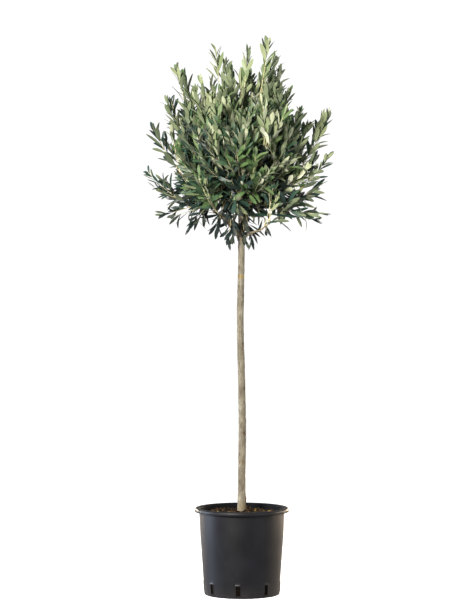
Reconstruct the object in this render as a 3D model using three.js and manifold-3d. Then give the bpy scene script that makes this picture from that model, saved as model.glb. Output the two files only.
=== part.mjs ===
// A standard olive tree in a nursery pot: one clear stem under a round crown of leafy shoots.
// Millimetres, +Z up, with the origin in the middle of the pot's flat underside.
// Turns are degrees about the trunk, from +X towards +Y, so -90 is the front.
import * as THREE from "three";
import { mergeVertices } from "three/addons/utils/BufferGeometryUtils.js";
import Module from "manifold-3d";

const wasm = await Module();
wasm.setup();

const GAP = 0.3; // left between solids that touch on the real plant
const DEGREE = Math.PI / 180;
const GOLDEN_TURN = 137.5;

// Pot: a thin moulded wall, a little fuller halfway up, with a rim that rolls over and hangs.
const POT_HEIGHT = 278;
const WALL = 2;
const FLOOR = 2.5;
const FOOT_FILLET = 3;
const WALL_LINE = [
  { height: 0, radius: 120.6 },
  { height: 75, radius: 125.2 },
  { height: 200, radius: 133.8 },
  { height: POT_HEIGHT, radius: 137 },
];
const RIM_RADIUS = 150;
const RIM_DEPTH = 13;
const RIM_ROUND = 6;
const MOUTH_ROUND = 5;
const ROUND_SIDES = 36;

// Drain slots low in the wall.
const SLOT_COUNT = 8;
const SLOT_WIDTH = 14;
const SLOT_FOOT = 10;
const SLOT_HEIGHT = 32;
const SLOT_TURN = -95.8; // turn of the slot nearest the front
const SLOT_CUT_DEPTH = 24;

// Compost, filled to just under the rim and heaped a little round the stem.
const SOIL_EDGE = 259;
const SOIL_MIDDLE = 267;
const SOIL_FLAT_RADIUS = 18;

// Trunk: straight but for two slow bows, flared at its foot, with a swollen collar just above.
const TRUNK_TOP = 1178;
const TRUNK_FOOT_RADIUS = 12.6;
const TRUNK_TOP_RADIUS = 10.2;
const TRUNK_FOOT_X = -0.6;
const TRUNK_LEAN = -0.9;
const BOWS = [
  { swing: 2.4, height: 530, reach: 190 },
  { swing: -3.9, height: 880, reach: 230 },
];
const SWAY = 3;
const FLARE = 1.6;
const FLARE_LENGTH = 18;
const COLLAR = 1;
const COLLAR_HEIGHT = 40; // above the compost
const COLLAR_HALF_LENGTH = 22;
const TRUNK_SIDES = 10;
const TRUNK_STEPS = 20;

// Boughs: the leader goes on from the stem, and the others leave its last few centimetres in a
// spiral. Each bends upwards on its way to its mass.
const LEADER_TIP = new THREE.Vector3(-13, 0, 1392);
const LEADER_BEND = new THREE.Vector3(-4, -5, 1279);
const LEADER_TIP_RADIUS = 5;
const BOUGHS = [
  { reach: 88, rise: 95 },
  { reach: 92, rise: 30 },
  { reach: 78, rise: 120 },
  { reach: 96, rise: 62 },
  { reach: 66, rise: 140 },
  { reach: 98, rise: 48 },
];
const BOUGH_LOWEST = 1128;
const BOUGH_SPACING = 8;
const BOUGH_FIRST_TURN = 172;
const BOUGH_BEND = { out: 0.42, up: 0.66, turn: -14 };
const BOUGH_FOOT_RADIUS = 5.6;
const BOUGH_TIP_RADIUS = 3.6;
const BOUGH_SIDES = 6;
const BOUGH_STEPS = 5;

// Crown: foliage masses in rings round a hollow heart, where the boughs run free.
const CROWN_CENTRE = new THREE.Vector3(-13, 0, 1402);
const CROWN_REACH = new THREE.Vector3(268, 248, 250);
const TOP = { name: "foliage_top", count: 1, elevation: 90, distance: 0.64, radius: 108, turn: 0 };
const UPPER = { name: "foliage_upper", count: 4, elevation: 34, distance: 0.57, radius: 122, turn: 40 };
const MIDDLE = { name: "foliage_middle", count: 5, elevation: -6, distance: 0.56, radius: 116, turn: 0 };
const LOWER = { name: "foliage_lower", count: 4, elevation: -46, distance: 0.62, radius: 108, turn: -10 };
const RINGS = [
  { ...TOP, colour: 0xa3ac82 },
  { ...UPPER, colour: 0x93a072 },
  { ...MIDDLE, colour: 0x6f8558 },
  { ...LOWER, colour: 0x3f5a43 },
];
const MASS_DETAIL = 3;
const MASS_WAVE_HEIGHT = 0.09;
// The waves in a mass's surface: how fast each runs along X, Y and Z, and how it shifts by mass.
const MASS_WAVES = [
  [3.1, 0, 0, 1.7],
  [0, 4.3, 2.9, 1],
  [-3.3, 0, 5.7, 2.3],
];
const HEART_OUTLINE = [
  [0, 1080],
  [24, 1080],
  [40, 1180],
  [78, 1262],
  [52, 1340],
  [0, 1372],
];
const HEART_SIDES = 10;

// Leading shoots that stand out of the crown: [reach from the trunk, turn, height of the tip].
const LEADING_SHOOTS = [
  [86, -22, 1783],
  [112, 12, 1768],
  [24, -50, 1757],
  [104, -165, 1762],
  [72, 142, 1745],
  [130, -170, 1672],
  [228, -169, 1699],
  [200, 166, 1684],
  [258, -168, 1590],
  [309, -174, 1500],
  [296, 172, 1462],
  [325, -172, 1370],
  [312, 172, 1330],
  [282, -168, 1280],
  [290, -168, 1188],
  [200, -152, 1148],
  [132, -135, 1128],
  [72, -130, 1104],
  [34, -70, 1106],
  [66, -40, 1104],
  [186, -30, 1156],
  [288, -14, 1200],
  [268, 12, 1188],
  [284, -6, 1296],
  [297, -8, 1406],
  [266, 12, 1468],
  [290, 6, 1560],
  [196, -12, 1590],
  [152, 14, 1648],
  [140, 20, 1716],
];
// Shoots towards the front and the back, dealt out between two heights.
const SIDE_SHOOT_COUNT = 14;
const SIDE_SHOOT_LOWEST = 1165;
const SIDE_SHOOT_HIGHEST = 1660;
const SIDE_SHOOT_PROUD = 1.16; // how far out their tips are, as a share of the crown's reach
const SIDE_SHOOT_LEAST = 0.25;
const SIDE_SHOOT_SWING = 45;
// A shoot's root, as shares of the way from its mass's middle to its tip.
const ROOT_OUT_FLAT = 0.3;
const ROOT_OUT_STEEP = 0.78;
const ROOT_UP = 0.25;
const ROOT_DROP = 45;
const SHOOT_RADIUS = 24;
const SHOOT_TIP_RADIUS = 4;
const SHOOT_TAPER = 2.2;
const SHOOT_SIDES = 5;
const SHOOT_STEPS = 2;

// Finishes.
const finish = (color, roughness) => new THREE.MeshStandardMaterial({ color, roughness, metalness: 0 });
const POT_PLASTIC = finish(0x35363a, 0.5);
const COMPOST = finish(0x4a3324, 0.95);
const BARK = finish(0xa89f86, 0.85);

// A closed geometry as a solid that can be joined and cut.
function solidOf(geometry) {
  geometry.deleteAttribute("normal");
  geometry.deleteAttribute("uv");
  const merged = mergeVertices(geometry, 1e-3);
  const triVerts = new Uint32Array(merged.index.array);
  const vertProperties = merged.attributes.position.array;
  return new wasm.Manifold(new wasm.Mesh({ numProp: 3, vertProperties, triVerts }));
}

// The largest body of a solid, without the crumbs that a cut can leave.
function largest(solid) {
  return solid.decompose().reduce((a, b) => (b.volume() > a.volume() ? b : a));
}

// A named mesh of a solid.
function meshOf(name, solid, material) {
  const made = solid.getMesh();
  const geometry = new THREE.BufferGeometry();
  geometry.setAttribute("position", new THREE.BufferAttribute(made.vertProperties, 3));
  geometry.setIndex(new THREE.BufferAttribute(made.triVerts, 1));
  geometry.computeVertexNormals();
  const mesh = new THREE.Mesh(geometry, material);
  mesh.name = name;
  return mesh;
}

// A solid of revolution about Z, from [radius, height] points that run up its outside.
function turned(outline, sides) {
  const points = outline.map(([radius, height]) => new THREE.Vector2(radius, height));
  return solidOf(new THREE.LatheGeometry(points, sides).rotateX(Math.PI / 2));
}

// A point at a distance from the Z axis, a turn and a height.
function around(reach, turn, height) {
  return new THREE.Vector3(reach * Math.cos(turn * DEGREE), reach * Math.sin(turn * DEGREE), height);
}

// A tapering limb: a closed cylinder bent along a curve, its radius a function of the share along
// it. Its rings keep one side towards X, or towards Y where the limb itself runs along X.
function limb(curve, radiusAt, sides, steps) {
  const geometry = new THREE.CylinderGeometry(1, 1, 1, sides, steps);
  const position = geometry.getAttribute("position");
  const chord = curve.getPoint(1).sub(curve.getPoint(0));
  const alongX = Math.abs(chord.x) > Math.hypot(chord.y, chord.z);
  const reference = alongX ? new THREE.Vector3(0, 1, 0) : new THREE.Vector3(1, 0, 0);
  for (let i = 0; i < position.count; i += 1) {
    const share = position.getY(i) + 0.5;
    const along = curve.getTangent(share);
    const across = reference.clone().projectOnPlane(along).normalize();
    const over = along.clone().cross(across);
    const radius = radiusAt(share);
    const place = curve.getPoint(share);
    place.addScaledVector(across, -radius * position.getX(i));
    place.addScaledVector(over, radius * position.getZ(i));
    position.setXYZ(i, place.x, place.y, place.z);
  }
  return solidOf(geometry);
}

// The outer radius of the pot's wall at a height.
function wallRadius(height) {
  const above = WALL_LINE.findIndex((knee, i) => i > 0 && height <= knee.height);
  const [low, high] = [WALL_LINE[above - 1], WALL_LINE[above]];
  return THREE.MathUtils.mapLinear(height, low.height, high.height, low.radius, high.radius);
}

// The pot's wall from a height near its foot to one near its rim, set in by a distance.
function wallOutline(inset, bottom, top) {
  const knees = WALL_LINE.slice(1, -1).map((knee) => knee.height);
  return [bottom, ...knees, top].map((height) => [wallRadius(height) - inset, height]);
}

// The pot's section, from the middle of its underside out, up, over the rim and down the inside.
function potOutline() {
  const quarter = Math.PI / 2;
  const footCentre = wallRadius(FOOT_FILLET) - FOOT_FILLET;
  const rimCentre = RIM_RADIUS - RIM_ROUND;
  const underRim = POT_HEIGHT - WALL;
  const mouth = wallRadius(POT_HEIGHT) - WALL;
  const path = new THREE.Path();
  path.moveTo(0, 0);
  path.lineTo(footCentre, 0);
  path.absarc(footCentre, FOOT_FILLET, FOOT_FILLET, -quarter, 0, false);
  wallOutline(0, FOOT_FILLET, underRim)
    .slice(1)
    .forEach(([radius, height]) => path.lineTo(radius, height));
  path.lineTo(rimCentre, underRim);
  path.absarc(rimCentre, POT_HEIGHT - RIM_ROUND, RIM_ROUND - WALL, quarter, 0, true);
  path.lineTo(RIM_RADIUS - WALL, POT_HEIGHT - RIM_DEPTH);
  path.lineTo(RIM_RADIUS, POT_HEIGHT - RIM_DEPTH);
  path.lineTo(RIM_RADIUS, POT_HEIGHT - RIM_ROUND);
  path.absarc(rimCentre, POT_HEIGHT - RIM_ROUND, RIM_ROUND, 0, quarter, false);
  path.lineTo(mouth + MOUTH_ROUND, POT_HEIGHT);
  path.absarc(mouth + MOUTH_ROUND, POT_HEIGHT - MOUTH_ROUND, MOUTH_ROUND, quarter, 2 * quarter, false);
  wallOutline(WALL, FLOOR, POT_HEIGHT - MOUTH_ROUND)
    .slice(0, -1)
    .reverse()
    .forEach(([radius, height]) => path.lineTo(radius, height));
  path.lineTo(0, FLOOR);
  return path.getPoints(1).map((point) => [point.x, point.y]);
}

function makePot() {
  let pot = turned(potOutline(), ROUND_SIDES);
  for (let i = 0; i < SLOT_COUNT; i += 1) {
    const turn = SLOT_TURN + (i * 360) / SLOT_COUNT;
    const cutter = new THREE.BoxGeometry(SLOT_CUT_DEPTH, SLOT_WIDTH, SLOT_HEIGHT);
    cutter.translate(wallRadius(SLOT_FOOT), 0, SLOT_FOOT + SLOT_HEIGHT / 2);
    cutter.rotateZ(turn * DEGREE);
    pot = pot.subtract(solidOf(cutter));
  }
  return meshOf("pot", pot, POT_PLASTIC);
}

function makeSoil() {
  const outline = [
    [0, FLOOR + GAP],
    ...wallOutline(WALL + GAP, FLOOR + GAP, SOIL_EDGE),
    [SOIL_FLAT_RADIUS, SOIL_MIDDLE],
    [0, SOIL_MIDDLE],
  ];
  return meshOf("soil", turned(outline, ROUND_SIDES), COMPOST);
}

// The trunk's axis: a slow lean and sway, and bows that swell and die away.
class TrunkAxis extends THREE.Curve {
  getPoint(share, target = new THREE.Vector3()) {
    const height = THREE.MathUtils.lerp(SOIL_MIDDLE + GAP, TRUNK_TOP, share);
    const swings = BOWS.map((bow) => {
      const away = Math.min(Math.abs(height - bow.height) / bow.reach, 1);
      return bow.swing * Math.cos((away * Math.PI) / 2) ** 2;
    });
    const x = swings.reduce((sum, swing) => sum + swing, TRUNK_FOOT_X + TRUNK_LEAN * share);
    return target.set(x, SWAY * Math.sin(2 * Math.PI * share), height);
  }

  // The trunk is so nearly upright that every ring is level, its cut foot and fork too.
  getTangent(share, target = new THREE.Vector3()) {
    return target.set(0, 0, 1);
  }
}
const trunkAxis = new TrunkAxis();
const trunkTop = trunkAxis.getPoint(1);

function trunkRadius(share) {
  const above = share * (TRUNK_TOP - SOIL_MIDDLE);
  const flare = FLARE * Math.exp(-above / FLARE_LENGTH);
  const collar = COLLAR * Math.exp(-(((above - COLLAR_HEIGHT) / COLLAR_HALF_LENGTH) ** 2));
  return THREE.MathUtils.lerp(TRUNK_FOOT_RADIUS, TRUNK_TOP_RADIUS, share) + flare + collar;
}

// The trunk, or with some millimetres of growth the room that it needs in its neighbours.
function trunkSolid(growth = 0) {
  return limb(trunkAxis, (share) => trunkRadius(share) + growth, TRUNK_SIDES, TRUNK_STEPS);
}

// The leader, or the room that it needs. It stands on the trunk's flat top.
function leaderSolid(growth = 0) {
  const foot = trunkTop.clone().setZ(TRUNK_TOP - BOUGH_FOOT_RADIUS);
  const axis = new THREE.QuadraticBezierCurve3(foot, LEADER_BEND, LEADER_TIP);
  const radiusAt = (share) => THREE.MathUtils.lerp(TRUNK_TOP_RADIUS, LEADER_TIP_RADIUS, share) + growth;
  return limb(axis, radiusAt, TRUNK_SIDES, BOUGH_STEPS);
}

// A side bough, or the room that it needs.
function boughSolid(index, growth = 0) {
  const { reach, rise } = BOUGHS[index];
  const turn = BOUGH_FIRST_TURN + index * GOLDEN_TURN;
  const foot = trunkTop.clone().setZ(BOUGH_LOWEST + index * BOUGH_SPACING);
  const bend = around(reach * BOUGH_BEND.out, turn + BOUGH_BEND.turn, rise * BOUGH_BEND.up);
  const tip = around(reach, turn, rise);
  const axis = new THREE.QuadraticBezierCurve3(foot, bend.add(foot), tip.add(foot));
  const radiusAt = (share) => THREE.MathUtils.lerp(BOUGH_FOOT_RADIUS, BOUGH_TIP_RADIUS, share) + growth;
  return limb(axis, radiusAt, BOUGH_SIDES, BOUGH_STEPS);
}

const limbRooms = [trunkSolid(GAP), leaderSolid(GAP), ...BOUGHS.map((_, index) => boughSolid(index, GAP))];

// Each side bough is cut back where it leaves the trunk and where it would run into one before it.
function makeBoughs() {
  const leader = leaderSolid().trimByPlane([0, 0, 1], TRUNK_TOP + GAP);
  const sides = BOUGHS.map((_, index) => {
    const before = limbRooms.slice(0, index + 2);
    const bough = before.reduce((solid, room) => solid.subtract(room), boughSolid(index));
    return meshOf(`bough_${index + 1}`, largest(bough), BARK);
  });
  return [meshOf("bough_leader", leader, BARK), ...sides];
}

// The masses' names, middles, sizes and colours, ring by ring.
function crownCells() {
  return RINGS.flatMap(({ name, count, elevation, distance, radius, turn, colour }) =>
    Array.from({ length: count }, (_, i) => {
      const level = Math.cos(elevation * DEGREE);
      const towards = around(level, turn + (i * 360) / count, Math.sin(elevation * DEGREE));
      const middle = towards.multiply(CROWN_REACH).multiplyScalar(distance).add(CROWN_CENTRE);
      return { name: count > 1 ? `${name}_${i + 1}` : name, middle, radius, colour };
    }),
  );
}

// An uneven ball: a sphere whose radius swells and sinks in slow waves, different for each seed.
function unevenBall(middle, radius, seed) {
  const geometry = new THREE.IcosahedronGeometry(1, MASS_DETAIL);
  const position = geometry.getAttribute("position");
  const point = new THREE.Vector3();
  for (let i = 0; i < position.count; i += 1) {
    point.fromBufferAttribute(position, i);
    const heights = MASS_WAVES.map(([alongX, alongY, alongZ, shift]) =>
      Math.sin(alongX * point.x + alongY * point.y + alongZ * point.z + shift * seed),
    );
    const swell = heights.reduce((sum, height) => sum + height);
    point.multiplyScalar(radius * (1 + MASS_WAVE_HEIGHT * swell)).add(middle);
    position.setXYZ(i, point.x, point.y, point.z);
  }
  return solidOf(geometry);
}

// The tips of all leading shoots: the listed ones, then those that fill the front and the back.
function shootTips() {
  const tips = LEADING_SHOOTS.map(([reach, turn, height]) => around(reach, turn, height));
  for (let i = 0; i < SIDE_SHOOT_COUNT; i += 1) {
    const share = (i + 0.5) / SIDE_SHOOT_COUNT;
    const height = THREE.MathUtils.lerp(SIDE_SHOOT_LOWEST, SIDE_SHOOT_HIGHEST, share);
    const level = (height - CROWN_CENTRE.z) / CROWN_REACH.z;
    const roundness = Math.sqrt(Math.max(1 - level ** 2, SIDE_SHOOT_LEAST ** 2));
    const side = i % 2 ? 90 : -90;
    const swing = SIDE_SHOOT_SWING * Math.sin(i * GOLDEN_TURN * DEGREE);
    tips.push(around(CROWN_REACH.y * SIDE_SHOOT_PROUD * roundness, side + swing, height));
  }
  return tips;
}

// A shoot as a slim flame from inside its mass to its tip. A steep one is rooted far out, so that
// shoots on top of the crown stand upright beside each other, and a flat one is rooted lower down,
// so that it rises outwards.
function shootSolid(middle, tip) {
  const reach = tip.clone().sub(middle);
  const steepness = Math.abs(reach.z) / reach.length();
  const out = THREE.MathUtils.lerp(ROOT_OUT_FLAT, ROOT_OUT_STEEP, steepness ** 2);
  const root = middle.clone().add(reach.multiply(new THREE.Vector3(out, out, ROOT_UP)));
  root.z -= ROOT_DROP * (1 - steepness);
  const radiusAt = (share) => THREE.MathUtils.lerp(SHOOT_RADIUS, SHOOT_TIP_RADIUS, share ** SHOOT_TAPER);
  return limb(new THREE.LineCurve3(root, tip), radiusAt, SHOOT_SIDES, SHOOT_STEPS);
}

// The plane between a cell and another one, which lies nearer to the smaller of the two.
function border(cell, other) {
  const normal = other.middle.clone().sub(cell.middle);
  const length = normal.length();
  normal.divideScalar(length);
  const share = 0.5 + (cell.radius ** 2 - other.radius ** 2) / (2 * length ** 2);
  return { normal, offset: normal.dot(cell.middle) + share * length };
}

// Whether a point is on a cell's own side of all its borders.
function holds(cell, others, point) {
  return others.every((other) => {
    const { normal, offset } = border(cell, other);
    return normal.dot(point) <= offset;
  });
}

// Foliage masses: an uneven ball with its own shoots, cut at its neighbours, the heart and the limbs.
function makeMasses() {
  const cells = crownCells();
  const tips = shootTips();
  const rooms = [turned(HEART_OUTLINE, HEART_SIDES), ...limbRooms];
  return cells.map((cell, seed) => {
    const others = cells.filter((other) => other !== cell);
    let mass = unevenBall(cell.middle, cell.radius, seed);
    for (const tip of tips.filter((point) => holds(cell, others, point))) {
      mass = mass.add(shootSolid(cell.middle, tip));
    }
    for (const other of others) {
      const { normal, offset } = border(cell, other);
      mass = mass.trimByPlane(normal.negate().toArray(), GAP / 2 - offset);
    }
    for (const room of rooms) {
      mass = mass.subtract(room);
    }
    return meshOf(cell.name, largest(mass), finish(cell.colour, 0.7));
  });
}

const tree = new THREE.Group();
tree.add(makePot(), makeSoil());
tree.add(meshOf("trunk", trunkSolid(), BARK));
tree.add(...makeBoughs(), ...makeMasses());

export default tree;
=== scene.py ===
# %% [markdown]
# # A potted olive tree
#
# A young olive grown as a standard: one bare stem, a round crown of upright leafy shoots, and a thin black
# nursery pot with compost in it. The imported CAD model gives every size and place. Around it this lesson
# builds what the eye wants to see: the pot's moulded wall and slots, loose compost, bark with its scars,
# and a crown that really grows, from boughs to twigs to stems to some thousands of leaves.
#
# Every shape here is a formula worked out on a whole numpy array at once. Lengths are in millimetres while
# a shape is being made, because that is how a gardener would measure it, and become metres as it enters
# Blender.

# %% The fixed frame
import math

import bpy
import numpy as np
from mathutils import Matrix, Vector
from mathutils.bvhtree import BVHTree


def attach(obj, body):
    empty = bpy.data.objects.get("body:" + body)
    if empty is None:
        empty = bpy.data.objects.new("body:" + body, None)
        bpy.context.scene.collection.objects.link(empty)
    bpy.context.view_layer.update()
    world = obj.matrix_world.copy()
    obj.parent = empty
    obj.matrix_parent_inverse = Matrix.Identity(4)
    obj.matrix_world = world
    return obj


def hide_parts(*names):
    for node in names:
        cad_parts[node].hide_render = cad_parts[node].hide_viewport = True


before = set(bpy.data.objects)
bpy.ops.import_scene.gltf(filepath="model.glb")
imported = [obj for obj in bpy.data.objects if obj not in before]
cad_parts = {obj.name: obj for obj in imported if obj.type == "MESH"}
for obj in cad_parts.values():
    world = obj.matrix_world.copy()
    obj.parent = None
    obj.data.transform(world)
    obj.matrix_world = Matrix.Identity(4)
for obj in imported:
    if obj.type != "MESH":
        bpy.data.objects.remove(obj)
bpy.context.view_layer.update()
MM = 0.001

# %% [markdown]
# ## Camera
#
# The plant is tall and thin, so a short lens from close by would show the pot from above and the crown from
# below. A long lens from 8 m away sees pot rim, stem and crown almost level, with the eye a little above
# the middle of the plant. The lens follows from the height that the picture has to take in.

# %% Camera
SENSOR_MM = 36.0
PIXELS_HIGH, PIXEL_MM = 600, 3.197  # a pixel's size at the stem
PICTURE_HEIGHT = PIXELS_HIGH * PIXEL_MM * MM
EYE = Vector((-0.014, -8.0, 1.18))
AIM = Vector((-0.014, 0.0, 0.9428))

camera_data = bpy.data.cameras.new("camera")
camera_data.sensor_width = SENSOR_MM
camera_data.lens = SENSOR_MM * (AIM - EYE).length / PICTURE_HEIGHT
camera = bpy.data.objects.new("camera", camera_data)
camera.location = EYE
camera.rotation_euler = (AIM - EYE).to_track_quat("-Z", "Y").to_euler()
bpy.context.scene.collection.objects.link(camera)
bpy.context.scene.camera = camera
print("lens:", round(camera_data.lens, 1), "mm")

# %% [markdown]
# ## Small tools
#
# Short helpers do the routine work. The first group makes materials: `linear` turns a colour as a screen
# shows it into the light values that the renderer adds up, `finish_like` starts a material on the Principled
# shader, and the rest put one kind of node each into it. The second group makes meshes: `piece` turns arrays
# of points and faces into a named part of the plant.

# %% Colour and material helpers
def linear(hex_colour):
    """An sRGB hex colour as linear light: dark channels are divided by 12.92, others follow a 2.4 power
    curve."""
    channels = np.array([int(hex_colour[i:i + 2], 16) for i in (1, 3, 5)]) / 255
    light = np.where(channels <= 0.04045, channels / 12.92, ((channels + 0.055) / 1.055) ** 2.4)
    return (*light.tolist(), 1.0)


def finish_like(name, hex_colour, roughness, ior=1.5, **sockets):
    """A Principled material. Sockets are further constants, named as the shader names them with _ for a
    space."""
    material = bpy.data.materials.new(name)
    material.use_nodes = True
    material.diffuse_color = linear(hex_colour)
    shader = material.node_tree.nodes["Principled BSDF"]
    shader.inputs["Base Color"].default_value = linear(hex_colour)
    shader.inputs["Roughness"].default_value = roughness
    shader.inputs["IOR"].default_value = ior
    for socket, value in sockets.items():
        shader.inputs[socket.replace("_", " ")].default_value = value
    return material


def family(name, hex_colours, *finish, **sockets):
    """Numbered materials of one kind that differ only in their colour."""
    return [finish_like(f"{name} {i + 1}", tone, *finish, **sockets) for i, tone in enumerate(hex_colours)]


# %% Node helpers
def add(tree, kind, settings=None, inputs=None):
    """Adds one node. Settings are its own properties; inputs are values for its sockets, or sockets that
    feed them."""
    node = tree.nodes.new(kind)
    for name, value in (settings or {}).items():
        setattr(node, name, value)
    for name, value in (inputs or {}).items():
        if isinstance(value, bpy.types.NodeSocket):
            tree.links.new(value, node.inputs[name])
        else:
            node.inputs[name].default_value = value
    return node


def object_place(tree):
    """Where a point lies on its object, in metres."""
    return add(tree, "ShaderNodeTexCoord").outputs["Object"]


def height_in(tree, place):
    """The upright part of a place."""
    return add(tree, "ShaderNodeSeparateXYZ", inputs={"Vector": place}).outputs["Z"]


def stretched(tree, place, upright):
    """The place with its heights scaled by upright: a share under 1 draws a pattern out lengthwise."""
    scale = {"Vector": place, "Scale": (1.0, 1.0, upright)}
    return add(tree, "ShaderNodeMapping", inputs=scale).outputs["Vector"]


def noise(tree, place, size_mm, detail, roughness=0.5):
    """Soft random values round 0.5 whose features are about size_mm across."""
    sockets = {"Vector": place, "Scale": 1000 / size_mm, "Detail": detail, "Roughness": roughness}
    return add(tree, "ShaderNodeTexNoise", inputs=sockets).outputs["Fac"]


def cells(tree, place, size_mm):
    """A Voronoi pattern of cells about size_mm across."""
    return add(tree, "ShaderNodeTexVoronoi", inputs={"Vector": place, "Scale": 1000 / size_mm})


def ranged(tree, value, from_min, from_max, to_min, to_max):
    """A value carried from one range to another in a straight line, and held at the ends."""
    sockets = {"Value": value, "From Min": from_min, "From Max": from_max, "To Min": to_min, "To Max": to_max}
    return add(tree, "ShaderNodeMapRange", inputs=sockets).outputs["Result"]


def ramp(tree, value, *pairs):
    """A colour for each value, by straight lines between (position, hex colour) pairs."""
    node = add(tree, "ShaderNodeValToRGB", inputs={"Fac": value})
    elements = node.color_ramp.elements
    while len(elements) < len(pairs):
        elements.new(1.0)
    for element, (position, hex_colour) in zip(elements, pairs):
        element.position = position
        element.color = linear(hex_colour)
    return node.outputs["Color"]


def cover(tree, share, under, over, blend="MIX"):
    """One colour laid over another by a share from 0 to 1. The upper one may be a hex colour."""
    over = linear(over) if isinstance(over, str) else over
    settings = {"data_type": "RGBA", "blend_type": blend}
    return add(tree, "ShaderNodeMix", settings, {0: share, 6: under, 7: over}).outputs[2]


def dress(material, colour, relief, strength, distance):
    """Links a colour to the material's shader, and a height as bumps up to distance metres high."""
    tree = material.node_tree
    bump = add(tree, "ShaderNodeBump", inputs={"Strength": strength, "Distance": distance, "Height": relief})
    shader = tree.nodes["Principled BSDF"]
    tree.links.new(colour, shader.inputs["Base Color"])
    tree.links.new(bump.outputs["Normal"], shader.inputs["Normal"])


# %% Mesh helpers
def piece(name, points_mm, faces, materials, face_material=None, sharp_over=None):
    """A named part that rides on the plant's one body. Points are in mm, faces are lists of point numbers.
    Edges that turn by more than sharp_over degrees stay crisp and the rest are smooth; None is faceted all
    over."""
    mesh = bpy.data.meshes.new(name)
    mesh.from_pydata((points_mm * MM).tolist(), [], faces)
    for material in materials:
        mesh.materials.append(material)
    if face_material is not None:
        mesh.polygons.foreach_set("material_index", np.asarray(face_material, np.int32))
    if sharp_over is not None:
        mesh.polygons.foreach_set("use_smooth", np.ones(len(faces), bool))
        mesh.set_sharp_from_angle(angle=math.radians(sharp_over))
    mesh.update()
    part = bpy.data.objects.new(name, mesh)
    bpy.context.scene.collection.objects.link(part)
    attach(part, "root")
    triangles = sum(len(face) - 2 for face in faces)
    print(f"{name}: {len(points_mm)} points, {triangles} triangles")
    return part


def ring_faces(rows, columns):
    """Quads between rows of a tube-like grid whose last column joins its first. Faces point outwards where
    the rows run up and the columns run anticlockwise seen from above."""
    row, column = np.meshgrid(np.arange(rows - 1), np.arange(columns), indexing="ij")
    following = (column + 1) % columns
    corners = [row * columns + column, row * columns + following,
               (row + 1) * columns + following, (row + 1) * columns + column]
    return np.stack(corners, axis=-1).reshape(-1, 4)


def end_fans(rows, columns):
    """Triangles that close both ends of such a grid. They meet in two more points, which follow the grid:
    the first for the lowest row, the second for the highest."""
    start = np.arange(columns)
    following = (start + 1) % columns
    low, high = np.full(columns, rows * columns), np.full(columns, rows * columns + 1)
    highest = (rows - 1) * columns
    foot = np.stack([low, following, start], axis=-1)
    return np.concatenate([foot, np.stack([highest + start, highest + following, high], axis=-1)])


def waves(points, wavelength, seed, count=24):
    """Smooth random relief with a spread of 1: a sum of sine waves, each with its own direction, phase and
    a wavelength near the one given."""
    draw = np.random.default_rng(seed)
    heading = draw.normal(size=(count, points.shape[-1]))
    heading /= np.linalg.norm(heading, axis=1, keepdims=True)
    heading *= draw.uniform(0.65, 1.5, (count, 1)) * 2 * np.pi / wavelength
    return np.sin(points @ heading.T + draw.uniform(0, 2 * np.pi, count)).sum(-1) / math.sqrt(count / 2)


def size_of(vectors):
    """The length of each vector."""
    return np.linalg.norm(vectors, axis=-1)


def unit(vectors):
    """Each vector divided by its own length."""
    return vectors / np.maximum(size_of(vectors)[..., None], 1e-9)


def around(reach, turn, height):
    """Points at a distance from the upright axis, at a turn in radians from +X towards +Y, and at a
    height."""
    return np.stack(np.broadcast_arrays(reach * np.cos(turn), reach * np.sin(turn), height), axis=-1)


def swung(first, second, angle):
    """Two parts of a place, or two directions, turned in their own plane: first cos - second sin, and first
    sin + second cos."""
    return first * np.cos(angle) - second * np.sin(angle), first * np.sin(angle) + second * np.cos(angle)


# %% [markdown]
# ## The pot
#
# The real pot is injection moulded in one shot: a 2 mm wall, a little fuller halfway up, a rim that rolls
# outwards and hangs down, and eight drain slots through the foot of the wall. It could be a cylinder with
# boolean cuts, but a boolean leaves ragged triangles round each slot. Here the wall is one outline carried
# round the axis. Its columns and rows are placed so that each slot is a block of faces left out, outside
# and inside, and a strip of faces then joins the two openings. A ridge under 2 mm high frames each slot, as
# the mould leaves it.

# %% Pot outline
POT_HEIGHT = 278.0
WALL = 2.0
FLOOR = 2.5
FOOT_FILLET = 3.0
WALL_HEIGHTS = (0.0, 75.0, 200.0, POT_HEIGHT)
WALL_RADII = (120.6, 125.2, 133.8, 137.0)  # outer radius of the wall at those heights
RIM_RADIUS = 150.0
RIM_DEPTH = 13.0
RIM_ROUND = 6.0
RIM_FILLET = 2.5
MOUTH_ROUND = 5.0
SLOT_COUNT = 8
SLOT_WIDTH = 14.0
SLOT_FOOT = 10.0
SLOT_TOP = 42.0
SLOT_TURN = -95.8
LIP_STEPS = np.array([0.0, 0.9, 1.9, 3.4])  # where the ridge round a slot has points, from the slot's edge
LIP_HEIGHT = 1.3
PLAIN_WALL_FROM = 52.0  # above the slots the wall's rows are evenly spaced
BASE_RADII = (30.0, 70.0, 100.0)  # rings of points in the pot's flat base


def wall_radius(height):
    """Outer radius of the wall: straight lines between the radii given, from the foot to the rim."""
    return np.interp(height, WALL_HEIGHTS, WALL_RADII)


def arc(radius_at, height_at, size, start, end, count):
    """Points (radius, height) on a circle of that size, from a start angle to an end angle in degrees."""
    angle = np.radians(np.linspace(start, end, count))
    return np.stack([radius_at + size * np.cos(angle), height_at + size * np.sin(angle)], axis=-1)


def wall_line(heights, inset):
    """The wall's outline at the given heights, set in by the wall's thickness for the inside."""
    return np.stack([wall_radius(heights) - inset, heights], axis=-1)


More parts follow.
